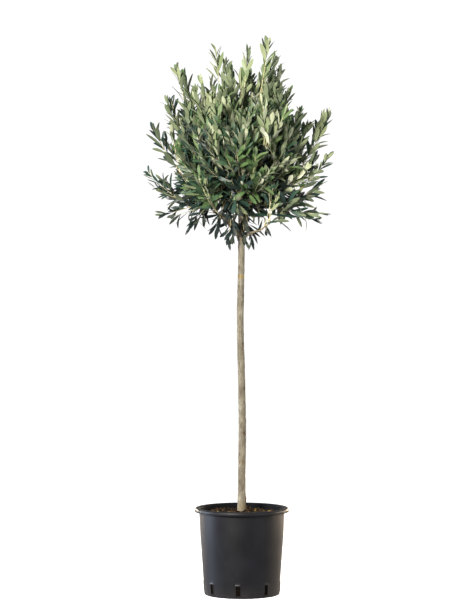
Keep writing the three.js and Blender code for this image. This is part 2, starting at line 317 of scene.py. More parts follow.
slot_rows = np.linspace(SLOT_FOOT, SLOT_TOP, 6)
under_rim = POT_HEIGHT - WALL
foot_radius = float(wall_radius(FOOT_FILLET))
outside_heights = np.concatenate([
    SLOT_FOOT - LIP_STEPS[:0:-1], slot_rows, SLOT_TOP + LIP_STEPS[1:],
    np.linspace(PLAIN_WALL_FROM, under_rim - 4, 18),
])
inside_heights = np.linspace(POT_HEIGHT - MOUTH_ROUND, PLAIN_WALL_FROM, 16)
inside_heights = np.concatenate([inside_heights, slot_rows[::-1]])
rim_centre = RIM_RADIUS - RIM_ROUND
mouth = WALL_RADII[-1] - WALL + MOUTH_ROUND
skirt_end = POT_HEIGHT - RIM_DEPTH + 0.5 * WALL
parts_of_outline = [
    np.array([[base_radius, 0.0] for base_radius in BASE_RADII]),
    arc(foot_radius - FOOT_FILLET, FOOT_FILLET, FOOT_FILLET, -90, 0, 6),
    wall_line(outside_heights, 0.0),
    arc(wall_radius(under_rim) + RIM_FILLET, under_rim - RIM_FILLET, RIM_FILLET, 180, 90, 4),
    arc(rim_centre, POT_HEIGHT - RIM_ROUND, RIM_ROUND - WALL, 90, 0, 5),
    arc(RIM_RADIUS - 0.5 * WALL, skirt_end, 0.5 * WALL, -180, 0, 5),
    arc(rim_centre, POT_HEIGHT - RIM_ROUND, RIM_ROUND, 0, 90, 8),
    arc(mouth, POT_HEIGHT - MOUTH_ROUND, MOUTH_ROUND, 90, 170, 6),
    wall_line(inside_heights, WALL),
    np.array([[foot_radius - WALL - 0.3, FLOOR + 1.2], [foot_radius - WALL - 2, FLOOR]]),
    np.array([[base_radius, FLOOR] for base_radius in BASE_RADII[1::-1]]),
]
pot_outline = np.concatenate(parts_of_outline)
outside_from = sum(len(part) for part in parts_of_outline[:2])
inside_from = sum(len(part) for part in parts_of_outline[:8])
print("pot outline points:", len(pot_outline))

# %% Pot wall, carried round the axis
half_slot = 0.5 * SLOT_WIDTH
slot_radius = float(wall_radius(0.5 * (SLOT_FOOT + SLOT_TOP)))
sector = 2 * np.pi * slot_radius / SLOT_COUNT
further_out = np.arange(13.5, 0.5 * sector - 2, 4.3)
beside_slot = np.concatenate([[0.5 * half_slot], half_slot + LIP_STEPS, further_out])
across = np.concatenate([-beside_slot[::-1], [0.0], beside_slot, [0.5 * sector]])  # one sector's columns
sector_turns = np.radians(SLOT_TURN + 360 / SLOT_COUNT * np.arange(SLOT_COUNT))
column_turn = (sector_turns[:, None] + across / slot_radius).ravel()
column_across = np.tile(across, SLOT_COUNT)

outside = np.arange(outside_from, outside_from + len(outside_heights))
beside = np.maximum(np.abs(column_across) - half_slot, 0)[None, :]
above = np.maximum(np.maximum(SLOT_FOOT - outside_heights, outside_heights - SLOT_TOP), 0)
from_slot = np.hypot(beside, above[:, None])
ridge = LIP_HEIGHT * np.cos(0.5 * np.pi * np.minimum(from_slot / LIP_STEPS[-1], 1)) ** 2
radius = np.repeat(pot_outline[:, :1], len(column_turn), axis=1)
radius[outside] += ridge
pot_points = around(radius, column_turn, pot_outline[:, 1:])


# %% Slots left out of both walls, and the strips that line them
def pot_faces(rows, columns):
    """All faces of the wall. A face is left out if its four corners lie in a slot's block. Each slot's
    lining follows the block's edge, anticlockwise seen from outside, from the outer wall to the inner
    one."""
    def number(row, column):
        return row * columns + column % columns

    faces = ring_faces(rows, columns)
    middle = np.arange(SLOT_COUNT) * len(across) + len(beside_slot)
    from_column, to_column = middle - 2, middle + 2
    outer_foot = outside_from + len(LIP_STEPS) - 1
    outer_top = outer_foot + len(slot_rows) - 1
    inner_foot = inside_from + len(inside_heights) - 1
    inner_top = inner_foot - len(slot_rows) + 1
    face_row, face_column = faces[:, 0] // columns, faces[:, 0] % columns
    in_columns = ((face_column[:, None] >= from_column) & (face_column[:, None] < to_column)).any(axis=1)
    in_outer = (face_row >= outer_foot) & (face_row < outer_top)
    in_inner = (face_row >= inner_top) & (face_row < inner_foot)
    kept = faces[~(in_columns & (in_outer | in_inner))].tolist()
    steps = len(slot_rows) - 1
    for left, right in zip(from_column, to_column):
        width = right - left
        edge = [(0, left + i) for i in range(width)] + [(i, right) for i in range(steps)]
        edge += [(steps, right - i) for i in range(width)] + [(steps - i, left) for i in range(steps)]
        outer = [number(outer_foot + step, column) for step, column in edge]
        inner = [number(inner_foot - step, column) for step, column in edge]
        loop = range(len(edge))
        kept += [[outer[i], outer[(i + 1) % len(edge)], inner[(i + 1) % len(edge)], inner[i]] for i in loop]
    return kept + end_fans(rows, columns).tolist()


def without_spares(points, faces):
    """Drops points that no face uses and renumbers the faces."""
    sizes = [len(face) for face in faces]
    used, numbers = np.unique(np.concatenate(faces), return_inverse=True)
    return points[used], [part.tolist() for part in np.split(numbers, np.cumsum(sizes)[:-1])]


pot_grid = pot_points.reshape(-1, 3)
poles = np.array([[0.0, 0.0, 0.0], [0.0, 0.0, FLOOR]])
all_pot_faces = pot_faces(len(pot_outline), len(column_turn))
pot_xyz, pot_face_list = without_spares(np.concatenate([pot_grid, poles]), all_pot_faces)

# %% [markdown]
# ## Black polypropylene
#
# Nursery pots are recycled polypropylene, carbon black, from a finely eroded steel mould. That gives the
# eye a dark slate with a soft satin sheen on the sides, never a mirror. Roughness near 0.45 does that, and
# the eroded surface reflects only about half as much as a polished one, so the specular level is low. A few
# slow clouds where the melt flowed, faint upright rub marks from stacking, and pale dust low on the wall
# stop it looking like a computed cylinder. Inside, a second material, dealt to every face that lies
# further in than half the wall, makes the plastic dull and nearly black: partly the stain of wet compost,
# partly painted shade.

# %% Pot material
pot_plastic = finish_like("black polypropylene, satin moulded", "#191A1D", 0.45, 1.49,
                          Specular_IOR_Level=0.28)
tree = pot_plastic.node_tree
place = object_place(tree)
CLOUD_MM, RUB_MM, GRAIN_MM, DUST_TOP_MM = 70.0, 3.0, 1.2, 46.0
RUB_STRETCH = 0.03
cloud = noise(tree, place, CLOUD_MM, 3.0)
rub = noise(tree, stretched(tree, place, RUB_STRETCH), RUB_MM, 4.0, 0.6)
grain = noise(tree, place, GRAIN_MM, 2.0)
tone = ramp(tree, cloud, (0.35, "#0C0D11"), (0.52, "#0F1014"), (0.68, "#121318"))
worn = cover(tree, ranged(tree, rub, 0.62, 0.8, 0.0, 0.35), tone, "#34363A")
dust_and_painted_shade_by_height = ranged(tree, height_in(tree, place), DUST_TOP_MM * MM, 0.0, 0.0, 0.3)
dust_patch = add(tree, "ShaderNodeMath", {"operation": "MULTIPLY"}, {0: dust_and_painted_shade_by_height, 1: cloud})
dusty = cover(tree, dust_patch.outputs["Value"], worn, "#4B443C")
gloss = ranged(tree, cloud, 0.3, 0.7, 0.42, 0.49)
tree.links.new(gloss, tree.nodes["Principled BSDF"].inputs["Roughness"])
dress(pot_plastic, dusty, grain, 0.12, 0.0006)

# Partly the stain of wet compost, partly painted shade inside the pot and its slots.
stain_and_painted_shade_plastic = finish_like("black polypropylene, compost stain and painted shade inside", "#08090C", 0.8, 1.49,
                          Specular_IOR_Level=0.12)
corner_counts = np.array([len(face) for face in pot_face_list])
face_starts = np.cumsum(corner_counts) - corner_counts
corner_sums = np.add.reduceat(pot_xyz[np.concatenate(pot_face_list)], face_starts)
face_middle = corner_sums / corner_counts[:, None]
depth_in = wall_radius(face_middle[:, 2]) - size_of(face_middle[:, :2])
is_inside = (depth_in > 0.4 * WALL) & (face_middle[:, 2] > 0.5 * FLOOR)
pot_shell = piece("pot_shell", pot_xyz, pot_face_list, [pot_plastic, stain_and_painted_shade_plastic],
                  is_inside, sharp_over=38)
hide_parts("pot")

# %% [markdown]
# ## The compost
#
# A container olive stands in a coarse mix of bark, peat and grit. Watering sinks its surface 11 to 19 mm
# below the rim and washes bark pieces to the top. One closed bed fills the pot, so that compost also shows
# through the slots, darkened there by painted shade, and nine hundred separate chips lie on it. Chips as
# bumps in a material would vanish at a low angle of view, and that is just how this surface is seen.

# %% Compost bed
SOIL_EDGE = 259.0
SOIL_MIDDLE = 267.0
SOIL_FLAT_RADIUS = 18.0
SOIL_GAP = 0.3
SOIL_RADIUS = float(wall_radius(SOIL_EDGE)) - WALL - SOIL_GAP
BED_COLUMNS = 180
draw = np.random.default_rng(41)


def soil_height(xy):
    """Height of the compost: a shallow cone towards the stem, plus lumps about 34 mm apart and crumbs about
    11 mm apart, which fade out at the pot's wall."""
    reach = size_of(xy)
    cone = np.interp(reach, [SOIL_FLAT_RADIUS, SOIL_RADIUS], [SOIL_MIDDLE, SOIL_EDGE])
    fade = np.clip((SOIL_RADIUS - reach) / 6, 0, 1)
    return cone - 1.0 + fade * (1.1 * waves(xy, 34, 42) + 0.7 * waves(xy, 11, 43))


side_heights = np.linspace(FLOOR + 1.5, SOIL_EDGE - 1, 12)
side = np.stack([wall_radius(side_heights) - WALL - SOIL_GAP, side_heights], axis=-1)
top_reach = np.linspace(SOIL_RADIUS, 3.0, 46)
bed_outline = np.concatenate([
    [[50.0, FLOOR + SOIL_GAP], [foot_radius - WALL - 3.5, FLOOR + SOIL_GAP]], side,
    np.stack([top_reach, np.full(len(top_reach), SOIL_EDGE)], axis=-1),
])
bed_turn = np.linspace(0, 2 * np.pi, BED_COLUMNS, endpoint=False)
bed = around(bed_outline[:, :1], bed_turn, bed_outline[:, 1:])
top_rows = slice(len(bed_outline) - len(top_reach), None)
bed[top_rows, :, 2] = soil_height(bed[top_rows, :, :2])
bed_ends = np.array([[0, 0, FLOOR + SOIL_GAP], [0, 0, float(soil_height(np.zeros(2)))]])
bed_faces = ring_faces(len(bed_outline), BED_COLUMNS).tolist()
bed_faces += end_fans(len(bed_outline), BED_COLUMNS).tolist()

# %% Compost material
CRUMB_MM, FIBRE_MM, FIBRE_SHARE = 4.0, 1.3, 0.45
PAINTED_SHADE_BELOW, PAINTED_SHADE_ENDS_ABOVE = 90.0, 230.0  # heights in mm between which the painted shade low in the pot fades out
compost = finish_like("peat and bark compost, damp", "#3A281C", 0.95, 1.45, Specular_IOR_Level=0.1)
tree = compost.node_tree
place = object_place(tree)
fibre = noise(tree, place, FIBRE_MM, 5.0)
crumbs = cells(tree, place, CRUMB_MM).outputs["Color"]
crumb_value = add(tree, "ShaderNodeSeparateColor", inputs={"Color": crumbs}).outputs["Red"]
mixture = add(tree, "ShaderNodeMath", {"operation": "MULTIPLY_ADD"},
              {0: fibre, 1: FIBRE_SHARE, 2: crumb_value}).outputs["Value"]
shade = ramp(tree, mixture, (0.22, "#0C0805"), (0.60, "#1E160D"), (0.95, "#312315"), (1.0, "#443320"))
# Painted shade: the compost darkens towards the foot of the pot, where it shows only through the slots.
painted_shade_low_in_pot = ranged(tree, height_in(tree, place), PAINTED_SHADE_BELOW * MM, PAINTED_SHADE_ENDS_ABOVE * MM, 0.85, 0.0)
dress(compost, cover(tree, painted_shade_low_in_pot, shade, "#050403"), mixture, 0.7, 0.002)

compost_bed = piece("compost_bed", np.concatenate([bed.reshape(-1, 3), bed_ends]), bed_faces,
                    [compost], sharp_over=70)
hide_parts("soil")

# %% Bark chips and crumbs on the compost
CHIP_COUNT = 900
CHIP_ROWS, CHIP_COLUMNS = 3, 6
CHIP_LEVEL, CHIP_END = 52.0, 0.9  # the outer rows' angle in degrees, and how far out the end points lie
CHIPS_FROM = 17.0  # no chips nearer to the stem's middle
CHIP_TONES = ("#0B0805", "#1C140C", "#302316", "#453322", "#614D2A", "#87713F")
CHIP_SHARES = (0.16, 0.26, 0.27, 0.19, 0.09, 0.03)
chip_materials = family("bark chip", CHIP_TONES, 0.9, 1.45, Specular_IOR_Level=0.15)


def lumps(count, size, turn, tilt, centre):
    """Closed, lop-sided nuggets: the ring radius follows a half circle of rows, each point is pushed in or
    out by up to about a quarter, the whole is scaled to its size, tilted, turned about the upright axis and
    moved to its place."""
    level = np.radians(np.linspace(-CHIP_LEVEL, CHIP_LEVEL, CHIP_ROWS))
    ring = np.linspace(0, 2 * np.pi, CHIP_COLUMNS, endpoint=False)
    level, ring = np.meshgrid(level, ring, indexing="ij")
    shape = around(np.cos(level), ring, np.sin(level)).reshape(-1, 3)
    shape = np.concatenate([shape, [[0, 0, -CHIP_END], [0, 0, CHIP_END]]])
    points = shape * draw.uniform(0.72, 1.2, (count, len(shape), 1)) * size[:, None, :]
    along, up = swung(points[..., 0], points[..., 2], tilt)
    over, aside = swung(along, points[..., 1], turn)
    return np.stack([over, aside, up], axis=-1) + centre[:, None, :]


chip_reach = np.sqrt(draw.uniform(CHIPS_FROM ** 2, (SOIL_RADIUS - 4) ** 2, CHIP_COUNT))
chip_turn = draw.uniform(0, 2 * np.pi, CHIP_COUNT)
chip_length = draw.gamma(4.0, 1.15, CHIP_COUNT) + 1.6
chip_size = np.stack([chip_length, chip_length * draw.uniform(0.35, 0.75, CHIP_COUNT),
                      chip_length * draw.uniform(0.16, 0.4, CHIP_COUNT)], axis=-1).clip(0.6, 11)
chip_xy = around(chip_reach, chip_turn, 0.0)[:, :2]
chip_xy *= np.minimum(1, (SOIL_RADIUS - chip_size[:, :1]) / chip_reach[:, None])
chip_centre = np.concatenate([chip_xy, (soil_height(chip_xy) + 0.5 * chip_size[:, 2])[:, None]], axis=-1)
chips = lumps(CHIP_COUNT, chip_size, draw.uniform(0, 2 * np.pi, (CHIP_COUNT, 1)),
              draw.normal(0, 0.35, (CHIP_COUNT, 1)), chip_centre)
chip_sides = ring_faces(CHIP_ROWS, CHIP_COLUMNS)
chip_fans = end_fans(CHIP_ROWS, CHIP_COLUMNS)
chip_offset = (np.arange(CHIP_COUNT) * chips.shape[1])[:, None, None]
chip_faces = (chip_sides + chip_offset).reshape(-1, 4).tolist()
chip_faces += (chip_fans + chip_offset).reshape(-1, 3).tolist()
chip_tone = draw.choice(len(CHIP_TONES), CHIP_COUNT, p=CHIP_SHARES)
chip_face_tone = np.concatenate([np.repeat(chip_tone, len(part)) for part in (chip_sides, chip_fans)])
piece("compost_chips", chips.reshape(-1, 3), chip_faces, chip_materials, chip_face_tone)

# %% [markdown]
# ## Trunk and boughs
#
# The stem is two or three years old: smooth grey-tan bark, fine lengthwise cracks, small eyes where side
# shoots were rubbed off, a swollen collar at the compost, and an ochre band where a tie held it to a cane.
# Displacement on a cylinder would do, but the scars have places, so the relief is a formula of height and
# turn on a grid of 64 columns. The same formula returns how deep each point lies, and the material reads
# that as an attribute: cracks and scars then darken exactly where the mesh has them.

# %% Trunk and bough axes
SOIL_LINE = 267.3
TRUNK_TOP = 1178.0
TRUNK_FOOT_RADIUS = 12.6
TRUNK_TOP_RADIUS = 10.2
BOWS = ((2.4, 530.0, 190.0), (-3.9, 880.0, 230.0))  # swing in mm, height and reach of each bow
STEM_FOOT_X, LEAN, SWAY = -0.6, -0.9, 3.0
FLARE, FLARE_REACH = 1.6, 18.0
COLLAR, COLLAR_ABOVE, COLLAR_REACH = 1.0, 40.0, 22.0
LEADER_FROM = TRUNK_TOP - 6.0
LEADER_BEND, LEADER_TIP = np.array([-4.0, -5.0, 1279.0]), np.array([-13.0, 0.0, 1392.0])
LEADER_TIP_RADIUS = 5.0
BOUGH_FOOT_RADIUS = 5.6
BOUGH_TIP_RADIUS = 3.6
BOUGHS = ((88, 95), (92, 30), (78, 120), (96, 62), (66, 140), (98, 48))  # each bough's reach and rise
FIRST_BOUGH_TURN, FIRST_BOUGH_HEIGHT, BOUGH_STEP = 172.0, 1128.0, 8.0
GOLDEN_TURN = 137.5


def trunk_axis(height):
    """The stem's middle line: it bows to the right low down and to the left high up, each bow a squared
    cosine of the height from its middle, leans 0.9 mm, and sways 3 mm front to back."""
    share = (height - SOIL_LINE) / (TRUNK_TOP - SOIL_LINE)
    bows = [swing * np.cos(0.5 * np.pi * np.minimum(np.abs(height - middle) / reach, 1)) ** 2
            for swing, middle, reach in BOWS]
    sideways = STEM_FOOT_X + LEAN * share + sum(bows)
    return np.stack([sideways, SWAY * np.sin(2 * np.pi * share), height], axis=-1)


def trunk_radius(height):
    """An even taper, with a flare that dies away above the compost and a swollen collar 40 mm above it."""
    above = height - SOIL_LINE
    taper = np.interp(height, [SOIL_LINE, TRUNK_TOP], [TRUNK_FOOT_RADIUS, TRUNK_TOP_RADIUS])
    flare = FLARE * np.exp(-np.maximum(above, 0) / FLARE_REACH)
    return taper + flare + COLLAR * np.exp(-((above - COLLAR_ABOVE) / COLLAR_REACH) ** 2)


def bent(start, bend, end, share):
    """A quadratic curve: (1 - s) squared times the start, twice s (1 - s) times the bend, s squared times
    the end."""
    share = np.asarray(share)[..., None]
    return (1 - share) ** 2 * start + 2 * share * (1 - share) * bend + share ** 2 * end


def frames(paths):
    """Tangent and two sideways directions along each path of an (n, stations, 3) array. The first sideways
    one is what is square to the tangent in the world axis that the path follows least."""
    tangent = unit(np.gradient(paths, axis=1))
    least = np.abs(paths[:, -1] - paths[:, 0]).argmin(axis=-1)
    fixed = np.eye(3)[least][:, None, :]
    sideways = unit(fixed - (fixed * tangent).sum(-1, keepdims=True) * tangent)
    return tangent, sideways, np.cross(tangent, sideways)


def tubes(paths, radii, sides):
    """Closed round tubes: path + radius (sideways cos turn + other sin turn). Radii are (n, stations), or
    (n, stations, sides) where the bark has relief. Returns points and faces, with a cap on each end."""
    count, stations = paths.shape[:2]
    _, sideways, other = frames(paths)
    turn = np.linspace(0, 2 * np.pi, sides, endpoint=False)[:, None]
    ring = np.cos(turn) * sideways[:, :, None] + np.sin(turn) * other[:, :, None]
    if radii.ndim == 2:
        radii = radii[:, :, None]
    points = paths[:, :, None] + radii[..., None] * ring
    offset = (np.arange(count) * stations * sides)[:, None, None]
    walls = (ring_faces(stations, sides) + offset).reshape(-1, 4).tolist()
    foot = (np.arange(sides)[::-1] + offset[:, 0]).tolist()
    tip = ((stations - 1) * sides + np.arange(sides) + offset[:, 0]).tolist()
    return points.reshape(-1, 3), walls + foot + tip


# %% Bark marks
# Each mark: height, turn, size and height of its swelling. A turn of -90 faces the front.
BARK_MARKS = np.array([
    (1047, -129, 6, 0.9), (987, -120, 5, 0.7), (958, -30, 7, 1.0), (857, -94, 5, 0.5), (804, -60, 6, 0.9),
    (737, -8, 7, 1.2), (660, -39, 6, 0.9), (517, -58, 8, 1.3), (449, -134, 6, 0.9), (423, -140, 5, 0.8),
    (363, -130, 6, 0.9), (355, -111, 5, 0.7), (302, -12, 8, 2.6),
], float)
HIDDEN_MARKS = 22  # more eyes, on the sides and back
TIE_BAND = (1018.0, 6.5)  # its height and half width
OLD_TIE_BAND = (424.0, 11.0)  # a paler band, where an older tie sat
COLLAR_TOP = 296.0
draw = np.random.default_rng(7)
more_marks = np.stack([
    draw.uniform(310, 1120, HIDDEN_MARKS), draw.uniform(10, 230, HIDDEN_MARKS),
    draw.uniform(4, 7, HIDDEN_MARKS), draw.uniform(0.5, 1.1, HIDDEN_MARKS),
], axis=-1)
bark_marks = np.concatenate([BARK_MARKS, more_marks])


def bark(points, height, turn, radius, marks):
    """Relief of the bark in mm and how dark each point is. Slow swellings of 30 mm, ridges stretched seven
    times lengthwise, and at each mark a swelling with a pit in its middle."""
    ridged = points * [1, 1, 1 / 7]
    fine = waves(ridged, 5.5, 71)
    cracks = np.maximum(0.35 - np.abs(waves(ridged * [1, 1, 0.8], 9.0, 72)), 0)
    relief = 0.15 * waves(points, 34, 73) + 0.12 * fine - 0.8 * cracks
    scar = np.zeros_like(relief)
    for mark_height, mark_turn, size, swelling in marks:
        away = (turn - math.radians(mark_turn) + np.pi) % (2 * np.pi) - np.pi
        spread = np.hypot(away * radius, (height - mark_height) * 0.8) / size
        relief += swelling * np.exp(-spread ** 2) - 0.9 * swelling * np.exp(-(spread / 0.38) ** 2)
        scar += 1.2 * swelling * np.exp(-(spread / 0.6) ** 2)
    return relief, np.clip(scar + 1.6 * cracks, 0, 1)


# %% The relief on trunk and leader, and on the side boughs
STEM_SIDES = 64
STEM_STEP = 2.2
TIE_DEPTH = 0.35
stem_heights = np.arange(SOIL_LINE - 2, LEADER_FROM, STEM_STEP)
leader_share = np.linspace(0, 1, 96)[1:]
leader = bent(trunk_axis(np.array(LEADER_FROM)), LEADER_BEND, LEADER_TIP, leader_share)
stem_path = np.concatenate([trunk_axis(stem_heights), leader])[None]
leader_radius = np.interp(leader_share, [0, 1], [TRUNK_TOP_RADIUS, LEADER_TIP_RADIUS])
stem_radius = np.concatenate([trunk_radius(stem_heights), leader_radius])[None]
stem_points, stem_faces = tubes(stem_path, stem_radius, STEM_SIDES)
stem_grid = stem_points.reshape(1, -1, STEM_SIDES, 3)
outwards = stem_grid - stem_path[:, :, None]
stem_turn = np.arctan2(outwards[..., 1], outwards[..., 0])
stem_relief, stem_dark = bark(stem_grid, stem_grid[..., 2], stem_turn, stem_radius[..., None], bark_marks)
tie_groove = np.exp(-((stem_grid[..., 2] - TIE_BAND[0]) / TIE_BAND[1]) ** 4)
stem_relief = stem_relief - TIE_DEPTH * tie_groove
stem_points, stem_faces = tubes(stem_path, stem_radius[..., None] + stem_relief, STEM_SIDES)

BOUGH_SIDES = 28
BOUGH_STATIONS = 70
BOUGH_COLLAR, BOUGH_COLLAR_REACH = 3.2, 7.0
bough_number = np.arange(len(BOUGHS))
bough_turn = FIRST_BOUGH_TURN + GOLDEN_TURN * bough_number
bough_reach, bough_rise = np.array(BOUGHS, float).T
bough_foot = trunk_axis(FIRST_BOUGH_HEIGHT + BOUGH_STEP * bough_number)
bough_bend = bough_foot + around(0.42 * bough_reach, np.radians(bough_turn - 14), 0.66 * bough_rise)
bough_tip = bough_foot + around(bough_reach, np.radians(bough_turn), bough_rise)
bough_share = np.linspace(0, 1, BOUGH_STATIONS)
bough_path = bent(bough_foot[:, None], bough_bend[:, None], bough_tip[:, None], bough_share[None, :])
from_axis = size_of(bough_path - bough_foot[:, None])
bough_collar = BOUGH_COLLAR * np.exp(-np.maximum(from_axis - TRUNK_TOP_RADIUS, 0) / BOUGH_COLLAR_REACH)
bough_taper = np.interp(bough_share, [0, 0.7, 1], [BOUGH_FOOT_RADIUS, BOUGH_TIP_RADIUS + 0.5, 1.8])
bough_radius = bough_taper[None] + bough_collar
bough_points, bough_faces = tubes(bough_path, bough_radius, BOUGH_SIDES)
bough_grid = bough_points.reshape(len(BOUGHS), BOUGH_STATIONS, BOUGH_SIDES, 3)
bough_relief = 0.16 * waves(bough_grid, 20, 74) + 0.08 * waves(bough_grid, 6, 75)
bough_points, bough_faces = tubes(bough_path, bough_radius[..., None] + bough_relief, BOUGH_SIDES)

# %% [markdown]
# ## Olive bark
#
# Young olive bark is a thin grey-tan cork. Its colour wanders from warm straw to grey over a few
# centimetres, fine fibres run along the stem, and pale pores dot it. Nothing shines, so roughness is 0.85.
# Three attributes from the mesh place what has a place: `dark` for cracks and scars, `ochre` for the tie's
# band and the collar, and `young` for the greener, smoother boughs.

# %% Bark material
FIBRE_MM, BLOTCH_MM, PORE_MM = 2.4, 38.0, 5.0
FIBRE_STRETCH = 0.13
olive_bark = finish_like("olive bark, young cork", "#A89F86", 0.85, 1.5)
tree = olive_bark.node_tree
place = object_place(tree)
dark_at, ochre_at, young_at = (add(tree, "ShaderNodeAttribute", {"attribute_name": name}).outputs["Fac"]
                               for name in ("dark", "ochre", "young"))
fibres = noise(tree, stretched(tree, place, FIBRE_STRETCH), FIBRE_MM, 4.0)
blotch_tone = ramp(tree, noise(tree, place, BLOTCH_MM, 3.0),
                   (0.34, "#656051"), (0.50, "#797364"), (0.66, "#888475"))
fibre_tone = ramp(tree, fibres, (0.36, "#8A7F68"), (0.50, "#CFC9B8"), (0.64, "#FFFFFF"))
corky = cover(tree, 0.55, blotch_tone, fibre_tone, "MULTIPLY")
banded = cover(tree, ochre_at, cover(tree, young_at, corky, "#695E4A"), "#86703F")
pore_spot = ranged(tree, cells(tree, place, PORE_MM).outputs["Distance"], 0.24, 0.1, 0.0, 0.22)
scarred = cover(tree, dark_at, cover(tree, pore_spot, banded, "#D9D2BC"), "#453526")
dress(olive_bark, scarred, fibres, 0.5, 0.0012)


def paint(part, name, values):
    """Stores one number per point of the mesh as an attribute that the material reads."""
    attribute = part.data.attributes.new(name, "FLOAT", "POINT")
    attribute.data.foreach_set("value", np.ascontiguousarray(values, np.float32))


stem_z = stem_points[:, 2]
stem_ochre = 0.85 * np.exp(-((stem_z - TIE_BAND[0]) / TIE_BAND[1]) ** 4)
stem_ochre += 0.2 / (1 + np.exp((stem_z - COLLAR_TOP) / 3))
stem_ochre += 0.12 * np.exp(-((stem_z - OLD_TIE_BAND[0]) / OLD_TIE_BAND[1]) ** 4)
stem_young = 0.6 * np.clip((stem_z - TRUNK_TOP) / 120, 0, 1)
no_bough_marks = np.zeros(len(bough_points))
wood_points = np.concatenate([stem_points, bough_points])
wood_faces = stem_faces + [[point + len(stem_points) for point in face] for face in bough_faces]
trunk_and_boughs = piece("trunk_and_boughs", wood_points, wood_faces, [olive_bark], sharp_over=60)
paint(trunk_and_boughs, "dark", np.concatenate([stem_dark.ravel(), no_bough_marks]))
paint(trunk_and_boughs, "ochre", np.concatenate([stem_ochre, no_bough_marks]))
paint(trunk_and_boughs, "young", np.concatenate([stem_young, no_bough_marks + 0.85]))
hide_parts("trunk", "bough_leader", *[f"bough_{i + 1}" for i in range(len(BOUGHS))])

# %% [markdown]
# ## Where the shoots end
#
# The CAD masses give the crown's outline, so they say where leaves may reach. Rays from outside towards the
# crown's middle find their surface. The middle value of nine neighbouring rays is used, so that one long
# spike doesn't pull every shoot near it outwards. The spikes have their own list: they are the leading
# shoots that break the outline, and each is given by its reach, its turn and the height of its tip.

# %% Crown surface
CROWN_CENTRE = np.array([-13.0, 0.0, 1402.0])
RINGS = ("top", "upper", "middle", "lower")
RAYS, RAY_SPREAD, RAY_START = 9, 0.09, 600.0
LEADING_SHOOTS = np.array([
    (98, -30, 1777), (120, 24, 1742), (50, -69, 1759), (93, 156, 1764), (68, -130, 1696), (138, -163, 1656),
    (217, -169, 1697), (196, 166, 1690), (248, -168, 1593), (288, -174, 1502), (256, 172, 1476),
    (318, -172, 1368), (308, 172, 1321), (280, -168, 1294), (288, -168, 1208), (204, -152, 1152),
    (120, -139, 1144), (72, -130, 1104), (34, -70, 1106), (45, -40, 1107), (110, -35, 1142), (288, -14, 1216),
    (268, 12, 1194), (272, -6, 1325), (291, -8, 1422), (219, 8, 1522), (287, 6, 1563), (193, -10, 1566),
    (161, 14, 1631), (134, 20, 1698),
], float)
foliage = [(name, node) for name, node in sorted(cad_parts.items()) if name.startswith("foliage_")]
crown_points, crown_faces, crown_ring = [], [], []
for name, node in foliage:
    first = len(crown_points)
    crown_points += [vertex.co / MM for vertex in node.data.vertices]
    crown_faces += [[first + i for i in polygon.vertices] for polygon in node.data.polygons]
    crown_ring += [RINGS.index(name.split("_")[1])] * len(node.data.polygons)
crown_tree = BVHTree.FromPolygons(crown_points, crown_faces)


def surface(directions):
    """Distance from the crown's middle to the outside of the masses in each direction, as the median over
    rays spread round it, and the ring of masses that the middle ray meets."""
    scatter = np.random.default_rng(5).normal(0, RAY_SPREAD, (RAYS, 3))
    scatter[0] = 0
    distance, ring = [], []
    for direction in directions:
        hits = []
        for ray in unit(direction + scatter):
            outside_point = Vector(CROWN_CENTRE + RAY_START * ray)
            _, _, face, travelled = crown_tree.ray_cast(outside_point, Vector(-ray))
            hits.append((RAY_START - travelled, crown_ring[face]))
        distance.append(np.median([hit[0] for hit in hits]))
        ring.append(hits[0][1])
    return np.array(distance), np.array(ring)


def even_directions(count, offset):
    """Directions spread evenly over a ball: heights in equal steps, each turned by the golden angle."""
    step = np.arange(count) + 0.5
    rise = 1 - 2 * step / count
    return around(np.sqrt(1 - rise ** 2), np.radians(GOLDEN_TURN * step + offset), rise)


# %% [markdown]
# ## The growth rule
#
# An olive doesn't spread its leaves evenly. A twig ends in a spray, here four leafy shoots that part from
# nearly one place, and between sprays one looks into the dark. Each spray grows along a line of its own,
# upright at the top of the crown, steeply out at the sides, and level or drooping at the bottom where its
# own weight counts. Its shoots fork off near the foot of that line and fan out. Leading shoots, each with a
# shorter one beside it, break the outline, and short ones in the shade keep the crown from being a hollow
# shell. Every choice is drawn from one seeded generator, so the same tree grows on each run.

# %% Shoots
SPRAY_COUNT = 96
SPRAY_SHOOTS = 4
INNER_COUNT = 165
SPRAY_LENGTH, LIMB_SPRAY_LENGTH, LEADING_LENGTH, INNER_LENGTH = (130, 200), (130, 180), (150, 215), (70, 130)
SPRAY_REACH, INNER_REACH = (0.86, 1.02), (0.42, 0.74)  # as shares of the way out to the crown's surface
# Each shoot's shade, painted into its leaves' and stem's tones: 0 is painted sun, 1 deep painted shade.
MEAN_SHADE = 0.42
LEADING_SHADE, INNER_SHADE = (0.28, 0.52), (0.9, 1.0)
LEAF_REACH = 22.0  # how far the last leaves stand out past the end of a stem, seen from the crown's middle
LEADING_REACH = 25.0  # and along the stem itself
SPREAD = 0.24  # how far the shoots of a spray fan out
LOW_SHOOT_SHADE = 0.3  # more painted shade for the leading shoots that hang under the crown,
LOW_SHOOT_HEIGHTS = (1190, 1260)  # which fades out between these heights
SKIRT_HEIGHT, SKIRT_RISE = 1160.0, 0.33  # the crown's open lower edge: its height at the stem and its slope
UP = np.array([0.0, 0.0, 1.0])
draw = np.random.default_rng(7)


def rise_of(directions):
    """How strongly growth turns upwards, by the elevation of the place on the crown."""
    elevation = np.degrees(np.arcsin(directions[:, 2]))
    return np.interp(elevation, [-90, -60, -35, -15, 5, 30, 60, 90], [0, 0.1, 0.4, 0.95, 1.5, 1.9, 1.5, 1])


